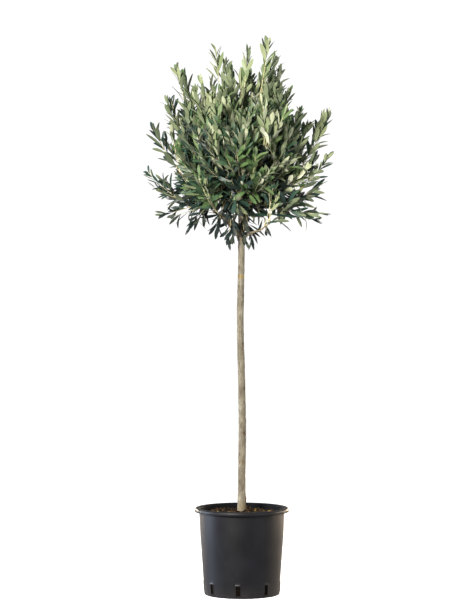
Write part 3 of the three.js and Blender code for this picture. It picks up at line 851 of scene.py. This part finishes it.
def curves(root, bend, tip, length, shade):
    """Shoots as arrays: the three points of each curve, its length and shade, and where its tip lies as
    seen from the crown's middle."""
    outward = unit(tip - CROWN_CENTRE)
    return {"root": root, "bend": bend, "tip": tip, "length": length, "shade": np.clip(shade, 0, 1),
            "elevation": np.degrees(np.arcsin(outward[:, 2])), "outward": outward}


def grow(tip, at_tip, at_root, length, shade):
    """Shoots that bend half a length back from the tip, along the direction that the tip grows in. They are
    rooted another half length back, along the direction at the root."""
    bend = tip - at_tip * (0.5 * length)[:, None]
    return curves(bend - at_root * (0.5 * length)[:, None], bend, tip, length, shade)


spray_way = unit(even_directions(SPRAY_COUNT, 0) + draw.normal(0, 0.07, (SPRAY_COUNT, 3)))
spray_share = np.interp(spray_way[:, 2], [-0.8, -0.4, 0.1], [0.5, 0.7, 1.0])
spray_way = spray_way[draw.uniform(size=SPRAY_COUNT) < spray_share]
sprays = len(spray_way)
spray_limit, _ = surface(spray_way)
spray_limit *= 0.92 - 0.11 * np.clip(-spray_way[:, 0], 0, 1)  # the crown is a little fuller on the right
spray_limit *= 1 + 0.15 * np.clip(spray_way[:, 2], 0, 1)  # and its top is loose
spray_line = unit(spray_way + rise_of(spray_way)[:, None] * UP + draw.normal(0, 0.14, (sprays, 3)))
spray_length = draw.uniform(*SPRAY_LENGTH, sprays)
spray_reach = spray_limit * draw.uniform(*SPRAY_REACH, sprays) - LEAF_REACH
spray_foot = CROWN_CENTRE + spray_way * spray_reach[:, None] - spray_line * spray_length[:, None]
limb_ends = np.concatenate([leader[-1:], bough_tip])
limb_lines = unit(limb_ends - np.concatenate([leader[-20:-19], bough_path[:, -15]])) + 0.35 * UP
spray_foot = np.concatenate([spray_foot, limb_ends])
spray_line = np.concatenate([spray_line, unit(limb_lines)])
spray_way = np.concatenate([spray_way, unit(limb_ends - CROWN_CENTRE)])
spray_length = np.concatenate([spray_length, draw.uniform(*LIMB_SPRAY_LENGTH, len(limb_ends))])
sprays = len(spray_foot)
# Painted shade: a little more near the top of the crown, and more uneven low down.
uneven = np.interp(spray_way[:, 2], [-0.5, 0.5], [0.18, 0.09])
spray_shade = MEAN_SHADE + 0.1 * np.clip(spray_way[:, 2], 0, 1) + uneven * draw.normal(0, 1, sprays)
spray_shade = np.clip(spray_shade, 0.05, 0.85)

of_spray = np.repeat(np.arange(sprays), SPRAY_SHOOTS)
outer_count = len(of_spray)
fan = unit(spray_line[of_spray] + draw.normal(0, SPREAD, (outer_count, 3)))
fan_length = spray_length[of_spray] * draw.uniform(0.68, 1.08, outer_count)
fan_root = spray_foot[of_spray] + spray_line[of_spray] * (draw.uniform(0, 0.28, outer_count) *
                                                         spray_length[of_spray])[:, None]
fan_tip = fan_root + fan * fan_length[:, None]
fan_way = unit(fan_tip - CROWN_CENTRE)
fan_limit, outer_ring = surface(fan_way)
furthest = fan_limit * (0.98 + 0.14 * np.clip(fan_way[:, 2], 0, 1)) - LEAF_REACH
fan_reach = np.minimum(size_of(fan_tip - CROWN_CENTRE), furthest)
fan_tip = CROWN_CENTRE + fan_way * fan_reach[:, None]
skirt = SKIRT_HEIGHT + SKIRT_RISE * size_of(fan_tip[:, :2])
fan_tip[:, 2] = np.maximum(fan_tip[:, 2], skirt)
fan_bend = 0.5 * (fan_root + fan_tip) + (spray_way[of_spray] * 0.10 - UP * 0.05) * fan_length[:, None]
outer = curves(fan_root, fan_bend, fan_tip, size_of(fan_tip - fan_root),
               spray_shade[of_spray] + draw.normal(0, 0.08, outer_count))

leading_reach, leading_turn, leading_height = LEADING_SHOOTS.T
leading_tips = around(leading_reach, np.radians(leading_turn), leading_height)
leading_way = unit(leading_tips - CROWN_CENTRE)
_, leading_ring = surface(leading_way)
leading_rise = rise_of(leading_way)[:, None] * UP
leading_count = len(leading_way)
leading_line = unit(leading_way + leading_rise)
leading = grow(leading_tips - leading_line * LEADING_REACH, leading_line,
               unit(leading_way + 0.5 * leading_rise + draw.normal(0, 0.08, (leading_count, 3))),
               draw.uniform(*LEADING_LENGTH, leading_count),
               (MEAN_SHADE + draw.normal(0, 0.1, leading_count)).clip(*LEADING_SHADE)
               + np.interp(leading_height, LOW_SHOOT_HEIGHTS, [LOW_SHOOT_SHADE, 0]))

# A shorter shoot stands beside each leading one.
whole = leading["tip"] - leading["root"]
shorter = draw.uniform(0.5, 0.85, leading_count)[:, None]
beside_root = leading["root"] + 0.12 * draw.uniform(0, 1, (leading_count, 1)) * whole
beside_tip = beside_root + shorter * whole + draw.normal(0, 16, (leading_count, 3))
beside_line = unit(beside_tip - beside_root)
companions = grow(beside_tip, unit(beside_line + 0.15 * UP), beside_line, size_of(beside_tip - beside_root),
                  leading["shade"] + draw.normal(0.05, 0.1, leading_count))

inner_way = unit(even_directions(INNER_COUNT, 40) + draw.normal(0, 0.1, (INNER_COUNT, 3)))
inner_way = inner_way[(inner_way[:, 2] > -0.45) | (draw.uniform(size=INNER_COUNT) < 0.5)]
inner_count = len(inner_way)
inner_limit, inner_ring = surface(inner_way)
inner_reach = inner_limit * draw.uniform(*INNER_REACH, inner_count)
inner = grow(CROWN_CENTRE + inner_way * inner_reach[:, None],
             unit(inner_way + 0.8 * UP + draw.normal(0, 0.5, (inner_count, 3))),
             unit(inner_way + 0.4 * UP + draw.normal(0, 0.4, (inner_count, 3))),
             draw.uniform(*INNER_LENGTH, inner_count),
             draw.uniform(*INNER_SHADE, inner_count) - 0.6 * np.clip(inner_way[:, 2] - 0.3, 0, 1))

shoots = {key: np.concatenate([outer[key], leading[key], companions[key], inner[key]]) for key in outer}
shoot_ring = np.concatenate([outer_ring, leading_ring, leading_ring, inner_ring])
SHOOT_COUNT = len(shoot_ring)
print("shoots:", SHOOT_COUNT, "in rings", np.bincount(shoot_ring).tolist())

# %% [markdown]
# ## Twigs
#
# Between the boughs and the shoots the tree forks again and again. A space-filling growth program could do
# this slowly; a simpler rule gives the same look. Take the shoot roots from the fork outwards. Join each to
# the wood already there, at the place that costs least: near, in front of the way that wood grows, and
# closer to the fork. Wood is then the thicker the more shoots it carries. Leonardo's rule, that the areas
# above a fork add up to the area below, has the radius grow with the square root of their number; a power
# a little under a half keeps the old wood as slender as a young crown has it.

# %% Joining each shoot to the wood already grown
TWIG_STATIONS = 12
TWIG_SIDES = 7
SHOOT_RADIUS = 1.4
FORK_HEIGHT = 1140.0
MOST_TWIG_RADIUS = 2.7
THICKENING = 0.42
JOINT_HEADWAY = 1.9  # the cost of a millimetre of twig is this, less 1 if the wood already heads that way
BACKWARDS_COST = 400.0  # for a joint that lies further from the fork than the shoot's root
fork = trunk_axis(np.array(FORK_HEIGHT))
node_place, node_way, node_parent = [], [], []


def add_wood(path, parent):
    """Adds a path's points to the wood. Each point's parent is the one before it."""
    way = unit(np.gradient(path, axis=0))
    for place, heading in zip(path, way):
        node_place.append(place)
        node_way.append(heading)
        node_parent.append(parent)
        parent = len(node_place) - 1


leader_from = len(stem_heights) + 4
add_wood(stem_path[0, leader_from::6], -1)
for path in bough_path:
    add_wood(path[14::6], 0)
twig_paths, twig_start = [], []
for shoot in np.argsort(size_of(shoots["root"] - fork)):
    root = shoots["root"][shoot]
    leaving = unit(shoots["bend"][shoot] - root)
    places, ways = np.array(node_place), np.array(node_way)
    gap = root - places
    distance = size_of(gap)
    ahead = (unit(gap) * ways).sum(-1)
    nearer = size_of(places - fork) < size_of(root - fork)
    cost = distance * (JOINT_HEADWAY - ahead) + BACKWARDS_COST * ~nearer
    joint = int(cost.argmin())
    hold = 0.42 * distance[joint]
    bend = 0.5 * (places[joint] + ways[joint] * hold + root - leaving * hold)
    path = bent(places[joint], bend, root, np.linspace(0, 1, TWIG_STATIONS))
    twig_start.append(len(node_place))
    add_wood(path[1:], joint)
    twig_paths.append(path)
print("wood points:", len(node_place))

# %% Twig thickness, from the tips down
carried = np.zeros(len(node_place))
for start in twig_start:
    carried[start + TWIG_STATIONS - 2] += 1
for number in range(len(node_place) - 1, 0, -1):
    if node_parent[number] >= 0:
        carried[node_parent[number]] += carried[number]
wood_radius = SHOOT_RADIUS * np.maximum(carried, 1) ** THICKENING
twig_radii = np.array([wood_radius[start:start + TWIG_STATIONS - 1] for start in twig_start])
twig_radii = np.concatenate([twig_radii[:, :1], twig_radii], axis=1)
twig_radii = twig_radii.clip(SHOOT_RADIUS, MOST_TWIG_RADIUS)
twig_points, twig_faces = tubes(np.array(twig_paths), twig_radii, TWIG_SIDES)

KNOT_MM = 9.0
twig_wood = finish_like("olive twig, second year", "#9C8C6A", 0.8, 1.5)
tree = twig_wood.node_tree
knots = noise(tree, object_place(tree), KNOT_MM, 3.0)
knot_tone = ramp(tree, knots, (0.35, "#5C4B38"), (0.5, "#7B6A50"), (0.68, "#A09272"))
tree.links.new(knot_tone, tree.nodes["Principled BSDF"].inputs["Base Color"])
piece("twigs", twig_points, twig_faces, [twig_wood], sharp_over=60)

# %% Leafy stems of the year
STEM_STATIONS, LEAFY_SIDES = 10, 6
STEM_TIP_RADIUS = 0.55
leafy_path = bent(shoots["root"][:, None], shoots["bend"][:, None], shoots["tip"][:, None],
                  np.linspace(0, 1, STEM_STATIONS)[None, :])
leafy_radius = np.repeat(np.linspace(SHOOT_RADIUS, STEM_TIP_RADIUS, STEM_STATIONS)[None], SHOOT_COUNT, axis=0)
leafy_points, leafy_faces = tubes(leafy_path, leafy_radius, LEAFY_SIDES)
stem_materials = family("olive stem of the year", ("#A39B70", "#BDB488", "#D6CEA6"), 0.6)
# Painted light and shade: a stem is the paler the less shade its shoot is given.
stem_tone = np.clip(((1 - shoots["shade"]) * 3 + draw.normal(0, 0.4, SHOOT_COUNT)).astype(int), 0, 2)
leafy_tone = np.repeat(stem_tone, (STEM_STATIONS - 1) * LEAFY_SIDES)
leafy_tone = np.concatenate([leafy_tone, stem_tone, stem_tone])  # the caps follow the walls
piece("leafy_stems", leafy_points, leafy_faces, stem_materials, leafy_tone, sharp_over=60)

# %% [markdown]
# ## Leaves
#
# An olive leaf is a stiff lance, mostly 45 to 65 mm long and 10 to 14 mm wide, on a short stalk, with a
# point at its end. Above it is a waxy grey-green; below, tiny scales make it a pale felt, and that is what
# gives an olive tree its silver. Leaves stand in opposite pairs and each pair is turned a quarter from the
# last. They lean forward, their upper faces towards the stem, so an upright shoot shows its pale undersides.
# In the lower crown they roll to the light instead and show dark green.
#
# Thousands of leaves need a light mesh: seven cross-sections of four points, a closed sliver of 26 faces.

# %% Leaf buds along every shoot
PAIR_GAP = 17.0
MOST_PAIRS = 14
LEAF_LENGTH = 59.0
LEAF_WIDTH = 13.4
ROLL = 32.0  # spread in degrees of each leaf's own turn about its length
LEAN_SPREAD = 6.5
SIZE_SPREAD = 0.1
SHOOT_SIZES, WIDTHS = (0.86, 1.12), (0.85, 1.15)

pairs = np.clip(np.round(shoots["length"] / PAIR_GAP), 4, MOST_PAIRS)
pair = np.arange(MOST_PAIRS)[None, :]
along = 0.06 + 0.94 * (pair + 0.5) / pairs[:, None]
present = pair < pairs[:, None]
start, bend, tip = (shoots[key][:, None, None] for key in ("root", "bend", "tip"))
along = np.repeat(along[..., None], 2, axis=-1).clip(0, 1)
growing = np.broadcast_to(present[..., None], along.shape)
bare = np.interp(along, [0, 0.2, 0.4, 0.6], [0.88, 0.55, 0.18, 0.03])  # how often a bud stays empty
bare += np.interp(shoots["elevation"], [-50, -20, 0], [0.2, 0.12, 0.0])[:, None, None]
kept = growing & (draw.uniform(size=along.shape) > bare)
bud = bent(start, bend, tip, along)
stem_way = unit((1 - along)[..., None] * (bend - start) + along[..., None] * (tip - bend))
fixed = unit(np.cross(stem_way, np.array([0.31, 0.95, 0.05])))
cross = np.cross(stem_way, fixed)
first_turn = draw.uniform(0, 2 * np.pi, (SHOOT_COUNT, 1, 1))
stray = np.interp(shoots["elevation"], [-30, 10], [0.8, 0.24])[:, None, None]
bud_turn = first_turn + 0.5 * np.pi * pair[..., None] + np.pi * np.arange(2)
bud_turn = bud_turn + draw.normal(0, 1, along.shape) * stray
aside = np.cos(bud_turn)[..., None] * fixed + np.sin(bud_turn)[..., None] * cross
elevation = shoots["elevation"][:, None, None]
wider = np.interp(elevation, [-60, -25, 10], [1.9, 1.6, 1.0])
lean = wider * np.interp(along, [0, 0.5, 0.88, 1], [33, 23, 14, 6])
lean = np.radians(lean + wider ** 2 * draw.normal(0, LEAN_SPREAD, along.shape))
leaf_way = np.cos(lean)[..., None] * stem_way + np.sin(lean)[..., None] * aside
towards_stem = np.sin(lean)[..., None] * stem_way - np.cos(lean)[..., None] * aside

# %% Weight and light turn each leaf
outward = shoots["outward"][:, None, None]
sag = np.interp(elevation, [-90, -20, 20, 60], [0.12, 0.08, 0.0, 0.0]) * draw.uniform(-2.0, 3.0, along.shape)
leaf_way = unit(leaf_way - sag[..., None] * UP)
to_light = unit(0.6 * outward + 0.5 * UP + draw.normal(0, 0.5, (*along.shape, 3)))
pull = np.interp(elevation, [-90, -20, 10, 40, 90], [0.85, 0.65, 0.4, 0.2, 0.08]) * np.ones(along.shape)
pull = np.clip(pull + draw.normal(0, 0.18, along.shape), 0, 1)[..., None]
facing = (1 - pull) * towards_stem + pull * to_light
facing = unit(facing - (facing * leaf_way).sum(-1, keepdims=True) * leaf_way)
roll = np.radians(draw.normal(0, ROLL, along.shape))[..., None]
facing = np.cos(roll) * facing + np.sin(roll) * np.cross(leaf_way, facing)

size = np.interp(along, [0, 0.3, 0.75, 0.93, 1], [0.8, 1.0, 0.96, 0.66, 0.48])
size = size * draw.normal(1, SIZE_SPREAD, along.shape)
shoot_size = draw.uniform(*SHOOT_SIZES, (SHOOT_COUNT, 1, 1))
leaf_length = LEAF_LENGTH * size * shoot_size
leaf_width = LEAF_WIDTH * size ** 0.6 * shoot_size * draw.uniform(*WIDTHS, along.shape)
shoot_of_leaf = np.broadcast_to(np.arange(SHOOT_COUNT)[:, None, None], along.shape)
print("leaves:", int(kept.sum()))

# %% The leaf's own shape
LEAF_STATIONS = np.array([0.0, 0.07, 0.25, 0.48, 0.70, 0.89, 1.0])
LEAF_OUTLINE = np.array([0.09, 0.14, 0.64, 0.97, 0.98, 0.57, 0.04])  # share of the half width at each station
MIDRIB = 0.35  # half the thickness at the midrib
CURL, FOLD, TWIST = (0.28, 0.3), (0.16, 0.12), (0.0, 0.25)  # the mean and the spread of each
LEAST_CURL = 0.02  # in radians: a straight leaf would divide by nothing
RING = 4


def leaf_mesh(base, way, face, length, width, curl, fold, twist):
    """Points (n, 28, 3) of closed leaves. The middle line is an arc that bends by curl radians from base to
    tip, away from the upper face. At each station the ring's points are left edge, upper midrib, right edge
    and lower midrib; fold lifts the edges and twist turns the ring about the leaf's own length."""
    share = LEAF_STATIONS[None, :]
    bending = curl[:, None] * share
    forward = (length / curl)[:, None] * np.sin(bending)
    down = (length / curl)[:, None] * (np.cos(bending) - 1)
    middle = base[:, None] + forward[..., None] * way[:, None] + down[..., None] * face[:, None]
    normal = np.cos(bending)[..., None] * face[:, None] + np.sin(bending)[..., None] * way[:, None]
    wide = np.cross(face, way)[:, None]
    turn = (twist[:, None] * share)[..., None]
    normal, wide = swung(normal, wide, turn)
    half = 0.5 * width[:, None] * LEAF_OUTLINE
    lift = (half * fold[:, None])[..., None] * normal
    thick = MIDRIB * np.interp(LEAF_STATIONS, [0, 0.9, 1], [1.0, 0.6, 0.3])[None, :, None]
    rings = [middle + half[..., None] * wide + lift, middle + thick * normal,
             middle - half[..., None] * wide + lift, middle - thick * normal]
    return np.stack(rings, axis=2).reshape(len(base), -1, 3)


leaf_quads = ring_faces(len(LEAF_STATIONS), RING)
quad_column = leaf_quads[:, 0] % RING
UPPER_COLUMNS = quad_column < 2
# Every second column starts a corner later, so that both faces of a leaf are halved along the same diagonal.
leaf_quads = np.where(quad_column[:, None] % 2 == 1, np.roll(leaf_quads, -1, axis=1), leaf_quads)
one_leaf = np.concatenate([leaf_quads, [[3, 2, 1, 0], np.arange(RING) + RING * (len(LEAF_STATIONS) - 1)]])

# %% [markdown]
# ## Leaf colours
#
# On a mesh of thousands of joined leaves a painted pattern has no fixed place, so each spray is dealt a
# plain colour for its upper faces and one for its undersides. Young tips are a little paler. The rest is
# painted light and shade: paler and yellower where a spray stands in the sun, darker and bluer in the
# shade, deep in the crown, low down and on its left flank, with a few low undersides painted palest as if
# the sun caught them. The upper face has a wax skin, roughness 0.5. The felted underside scatters light at
# its scales: rougher, with a little sheen. A few old leaves inside have dried to brown.

# %% Leaf materials
# Dark to pale: shaded and lit copies of each face, dealt as painted light and shade.
UPPER_TONES = ("#10211D", "#1A2F29", "#284136", "#3A543C", "#4D673D", "#5F734A", "#74835D")
UNDER_TONES = ("#2F392D", "#505C44", "#6C7859", "#86906B", "#A2A98A", "#C3C7AE")
DRY_TONE = "#5E4732"
PAINTED_SUN_SHARE = 0.4  # painted light: how many of the pale undersides low in the crown get the palest tone
DRY_SHARE = 0.06
leaf_materials = family("olive leaf, waxy upper face", UPPER_TONES, 0.5, 1.45)
leaf_materials += family("olive leaf, felted underside", UNDER_TONES, 0.75, 1.45, Sheen_Weight=0.12)
leaf_materials.append(finish_like("olive leaf, dried", DRY_TONE, 0.8, 1.45))
DRY = len(leaf_materials) - 1

chosen = kept.nonzero()
leaf_shoot = shoot_of_leaf[chosen]
leaf_along = along[chosen]
leaf_count = len(leaf_shoot)
# Painted light and shade: these light values pick each leaf's tone, mostly from its shoot's shade.
spray_light = 1 - shoots["shade"] + draw.normal(0, 0.08, SHOOT_COUNT)
leaf_light = spray_light[leaf_shoot] + 0.05 * (leaf_along > 0.85) + draw.normal(0, 0.08, leaf_count)
# Painted shade on the crown's left flank, and a little on its right edge.
leaf_light -= np.interp(shoots["outward"][leaf_shoot, 0], [-0.94, -0.3, 0.4, 0.9], [0.25, 0.0, 0.0, 0.09])
leaf_height = shoots["elevation"][leaf_shoot]
# Painted shade by height: low in the crown the tones are darker, the upper faces more than the undersides,
# and near the top the upper faces are painted lighter.
dust_and_painted_shade_by_height = np.interp(leaf_height, [-70, -45, -25, 20, 60], [0.46, 0.25, 0.05, 0.02, -0.30])
top_light = np.interp(leaf_height, [15, 45], [0.0, 0.43])  # painted light: no leaf at the crown's top is dealt a darker tone than this
upper_light = np.maximum(leaf_light - dust_and_painted_shade_by_height, top_light)
upper_tone = np.clip((upper_light * len(UPPER_TONES)).astype(int), 0, len(UPPER_TONES) - 1)
# Painted shade: undersides high in the crown are dealt slightly darker tones.
painted_shade_high_up = np.interp(leaf_height, [10, 45], [0.0, 0.11])
under_light = np.maximum(leaf_light - 0.7 * np.clip(dust_and_painted_shade_by_height, 0, 1) - painted_shade_high_up, top_light)
under_tone = np.clip((under_light * len(UNDER_TONES) + 0.4).astype(int), 0, len(UNDER_TONES) - 2)
# Painted light: some pale undersides low in the crown are dealt the palest tone, as if the sun caught them.
can_be_painted_sunlit = (under_tone == len(UNDER_TONES) - 2) & (dust_and_painted_shade_by_height > 0)
under_tone += can_be_painted_sunlit & (draw.uniform(size=leaf_count) < PAINTED_SUN_SHARE)
is_shaded = (shoots["shade"][leaf_shoot] > 0.9) & (dust_and_painted_shade_by_height > 0.15)
dry = is_shaded & (draw.uniform(size=leaf_count) < DRY_SHARE)

curl = draw.normal(*CURL, leaf_count)
curl = np.where(np.abs(curl) < LEAST_CURL, LEAST_CURL, curl)
fold = draw.normal(*FOLD, leaf_count)
twist = draw.normal(*TWIST, leaf_count)
leaves = leaf_mesh(bud[chosen], leaf_way[chosen], facing[chosen], leaf_length[chosen], leaf_width[chosen],
                   curl, fold, twist)

# %% One piece of leaves for each ring of the crown
for number, ring_name in enumerate(RINGS):
    mine = np.nonzero(shoot_ring[leaf_shoot] == number)[0]
    offset = (np.arange(len(mine)) * leaves.shape[1])[:, None, None]
    faces = (one_leaf[None] + offset).reshape(-1, RING).tolist()
    upper = np.where(dry[mine], DRY, upper_tone[mine])[:, None]
    under = np.where(dry[mine], DRY, under_tone[mine] + len(UPPER_TONES))[:, None]
    ends = np.repeat(under, 2, axis=1)
    tones = np.concatenate([np.where(UPPER_COLUMNS[None], upper, under), ends], axis=1)
    part = piece(f"leaves_{ring_name}", leaves[mine].reshape(-1, 3), faces, leaf_materials,
                 tones.ravel(), sharp_over=50)
    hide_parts(*[name for name, _ in foliage if name.split("_")[1] == ring_name])

# %% [markdown]
# ## Floor and light
#
# The floor is a plain white sheet, lit from below as in a product studio, so that no shadow and no horizon
# compete with the plant. A soft sky is brighter overhead. The key lamp stands in front on the left, about
# level with the crown: it shows the pale undersides of upright leaves and leaves the heart of the crown
# dark. A weak fill stands on the right. A black pot shows its roundness only by what it reflects, so four
# small lamps low at the sides and behind draw a line of light down each of its edges. Grids keep them off
# the crown.

# %% Floor
FLOOR_SIZE = 9000.0
corners = np.array([[-1, -1, 0], [1, -1, 0], [1, 1, 0], [-1, 1, 0]]) * 0.5 * FLOOR_SIZE * MM
floor_mesh = bpy.data.meshes.new("floor")
floor_mesh.from_pydata(corners.tolist(), [], [[0, 1, 2, 3]])
white_paint = finish_like("matt white paint, lit from below", "#F4F4F3", 0.9, Emission_Strength=0.72)
floor_mesh.materials.append(white_paint)
floor = bpy.data.objects.new("floor", floor_mesh)
bpy.context.scene.collection.objects.link(floor)
floor.visible_diffuse = False
floor.visible_glossy = False

# %% Sky and lamps
SKY_BELOW, SKY_HORIZON, SKY_TOP = 0.26, 0.32, 0.52
sky = bpy.data.worlds.new("soft sky")
sky.use_nodes = True
bpy.context.scene.world = sky
tree = sky.node_tree
tree.nodes.clear()
way_up = height_in(tree, add(tree, "ShaderNodeTexCoord").outputs["Generated"])
below = ranged(tree, way_up, -1.0, 0.0, SKY_BELOW, SKY_HORIZON)
glow = ranged(tree, way_up, 0.0, 1.0, below, SKY_TOP)
lighting = add(tree, "ShaderNodeBackground", inputs={"Color": glow})
seen = add(tree, "ShaderNodeBackground", inputs={"Color": (1.0, 1.0, 1.0, 1.0), "Strength": 1.05})
direct = add(tree, "ShaderNodeLightPath").outputs["Is Camera Ray"]
either = add(tree, "ShaderNodeMixShader", inputs={0: direct, 1: lighting.outputs[0], 2: seen.outputs[0]})
add(tree, "ShaderNodeOutputWorld", inputs={"Surface": either.outputs[0]})


def lamp(name, place, aim, size, watts, hex_colour, spread=180):
    """A square soft lamp that faces the point it is aimed at. A spread under 180 degrees is a grid on
    it."""
    data = bpy.data.lights.new(name, "AREA")
    data.size = size
    data.energy = watts
    data.spread = math.radians(spread)
    data.color = linear(hex_colour)[:3]
    light = bpy.data.objects.new(name, data)
    light.location = place
    light.rotation_euler = (Vector(aim) - Vector(place)).to_track_quat("-Z", "Y").to_euler()
    bpy.context.scene.collection.objects.link(light)


CROWN_AT = (0.0, 0.0, 1.4)
POT_AT = (0.0, 0.0, 0.15)
GRID = 56  # keeps the low lamps off the crown
lamp("key", (-1.9, -3.6, 1.9), CROWN_AT, 0.9, 385, "#FFF9F1")
lamp("fill", (2.8, -2.6, 0.9), CROWN_AT, 1.6, 42, "#F3F7FF")
lamp("left edge", (-2.4, 0.4, 0.5), POT_AT, 0.9, 8.0, "#DDE8FF", GRID)
lamp("right edge", (2.4, 0.7, 0.5), POT_AT, 0.9, 4.2, "#FFE9CF", GRID)
lamp("left rim", (-1.7, 2.3, 0.5), POT_AT, 0.6, 7.5, "#FFF0DA", GRID)
lamp("right rim", (1.7, 2.3, 0.5), POT_AT, 0.6, 7.5, "#FFE6C8", GRID)

scene = bpy.context.scene
scene.view_settings.view_transform = "Standard"
scene.view_settings.look = "None"
scene.view_settings.exposure = 0.0
scene.view_settings.gamma = 1.0
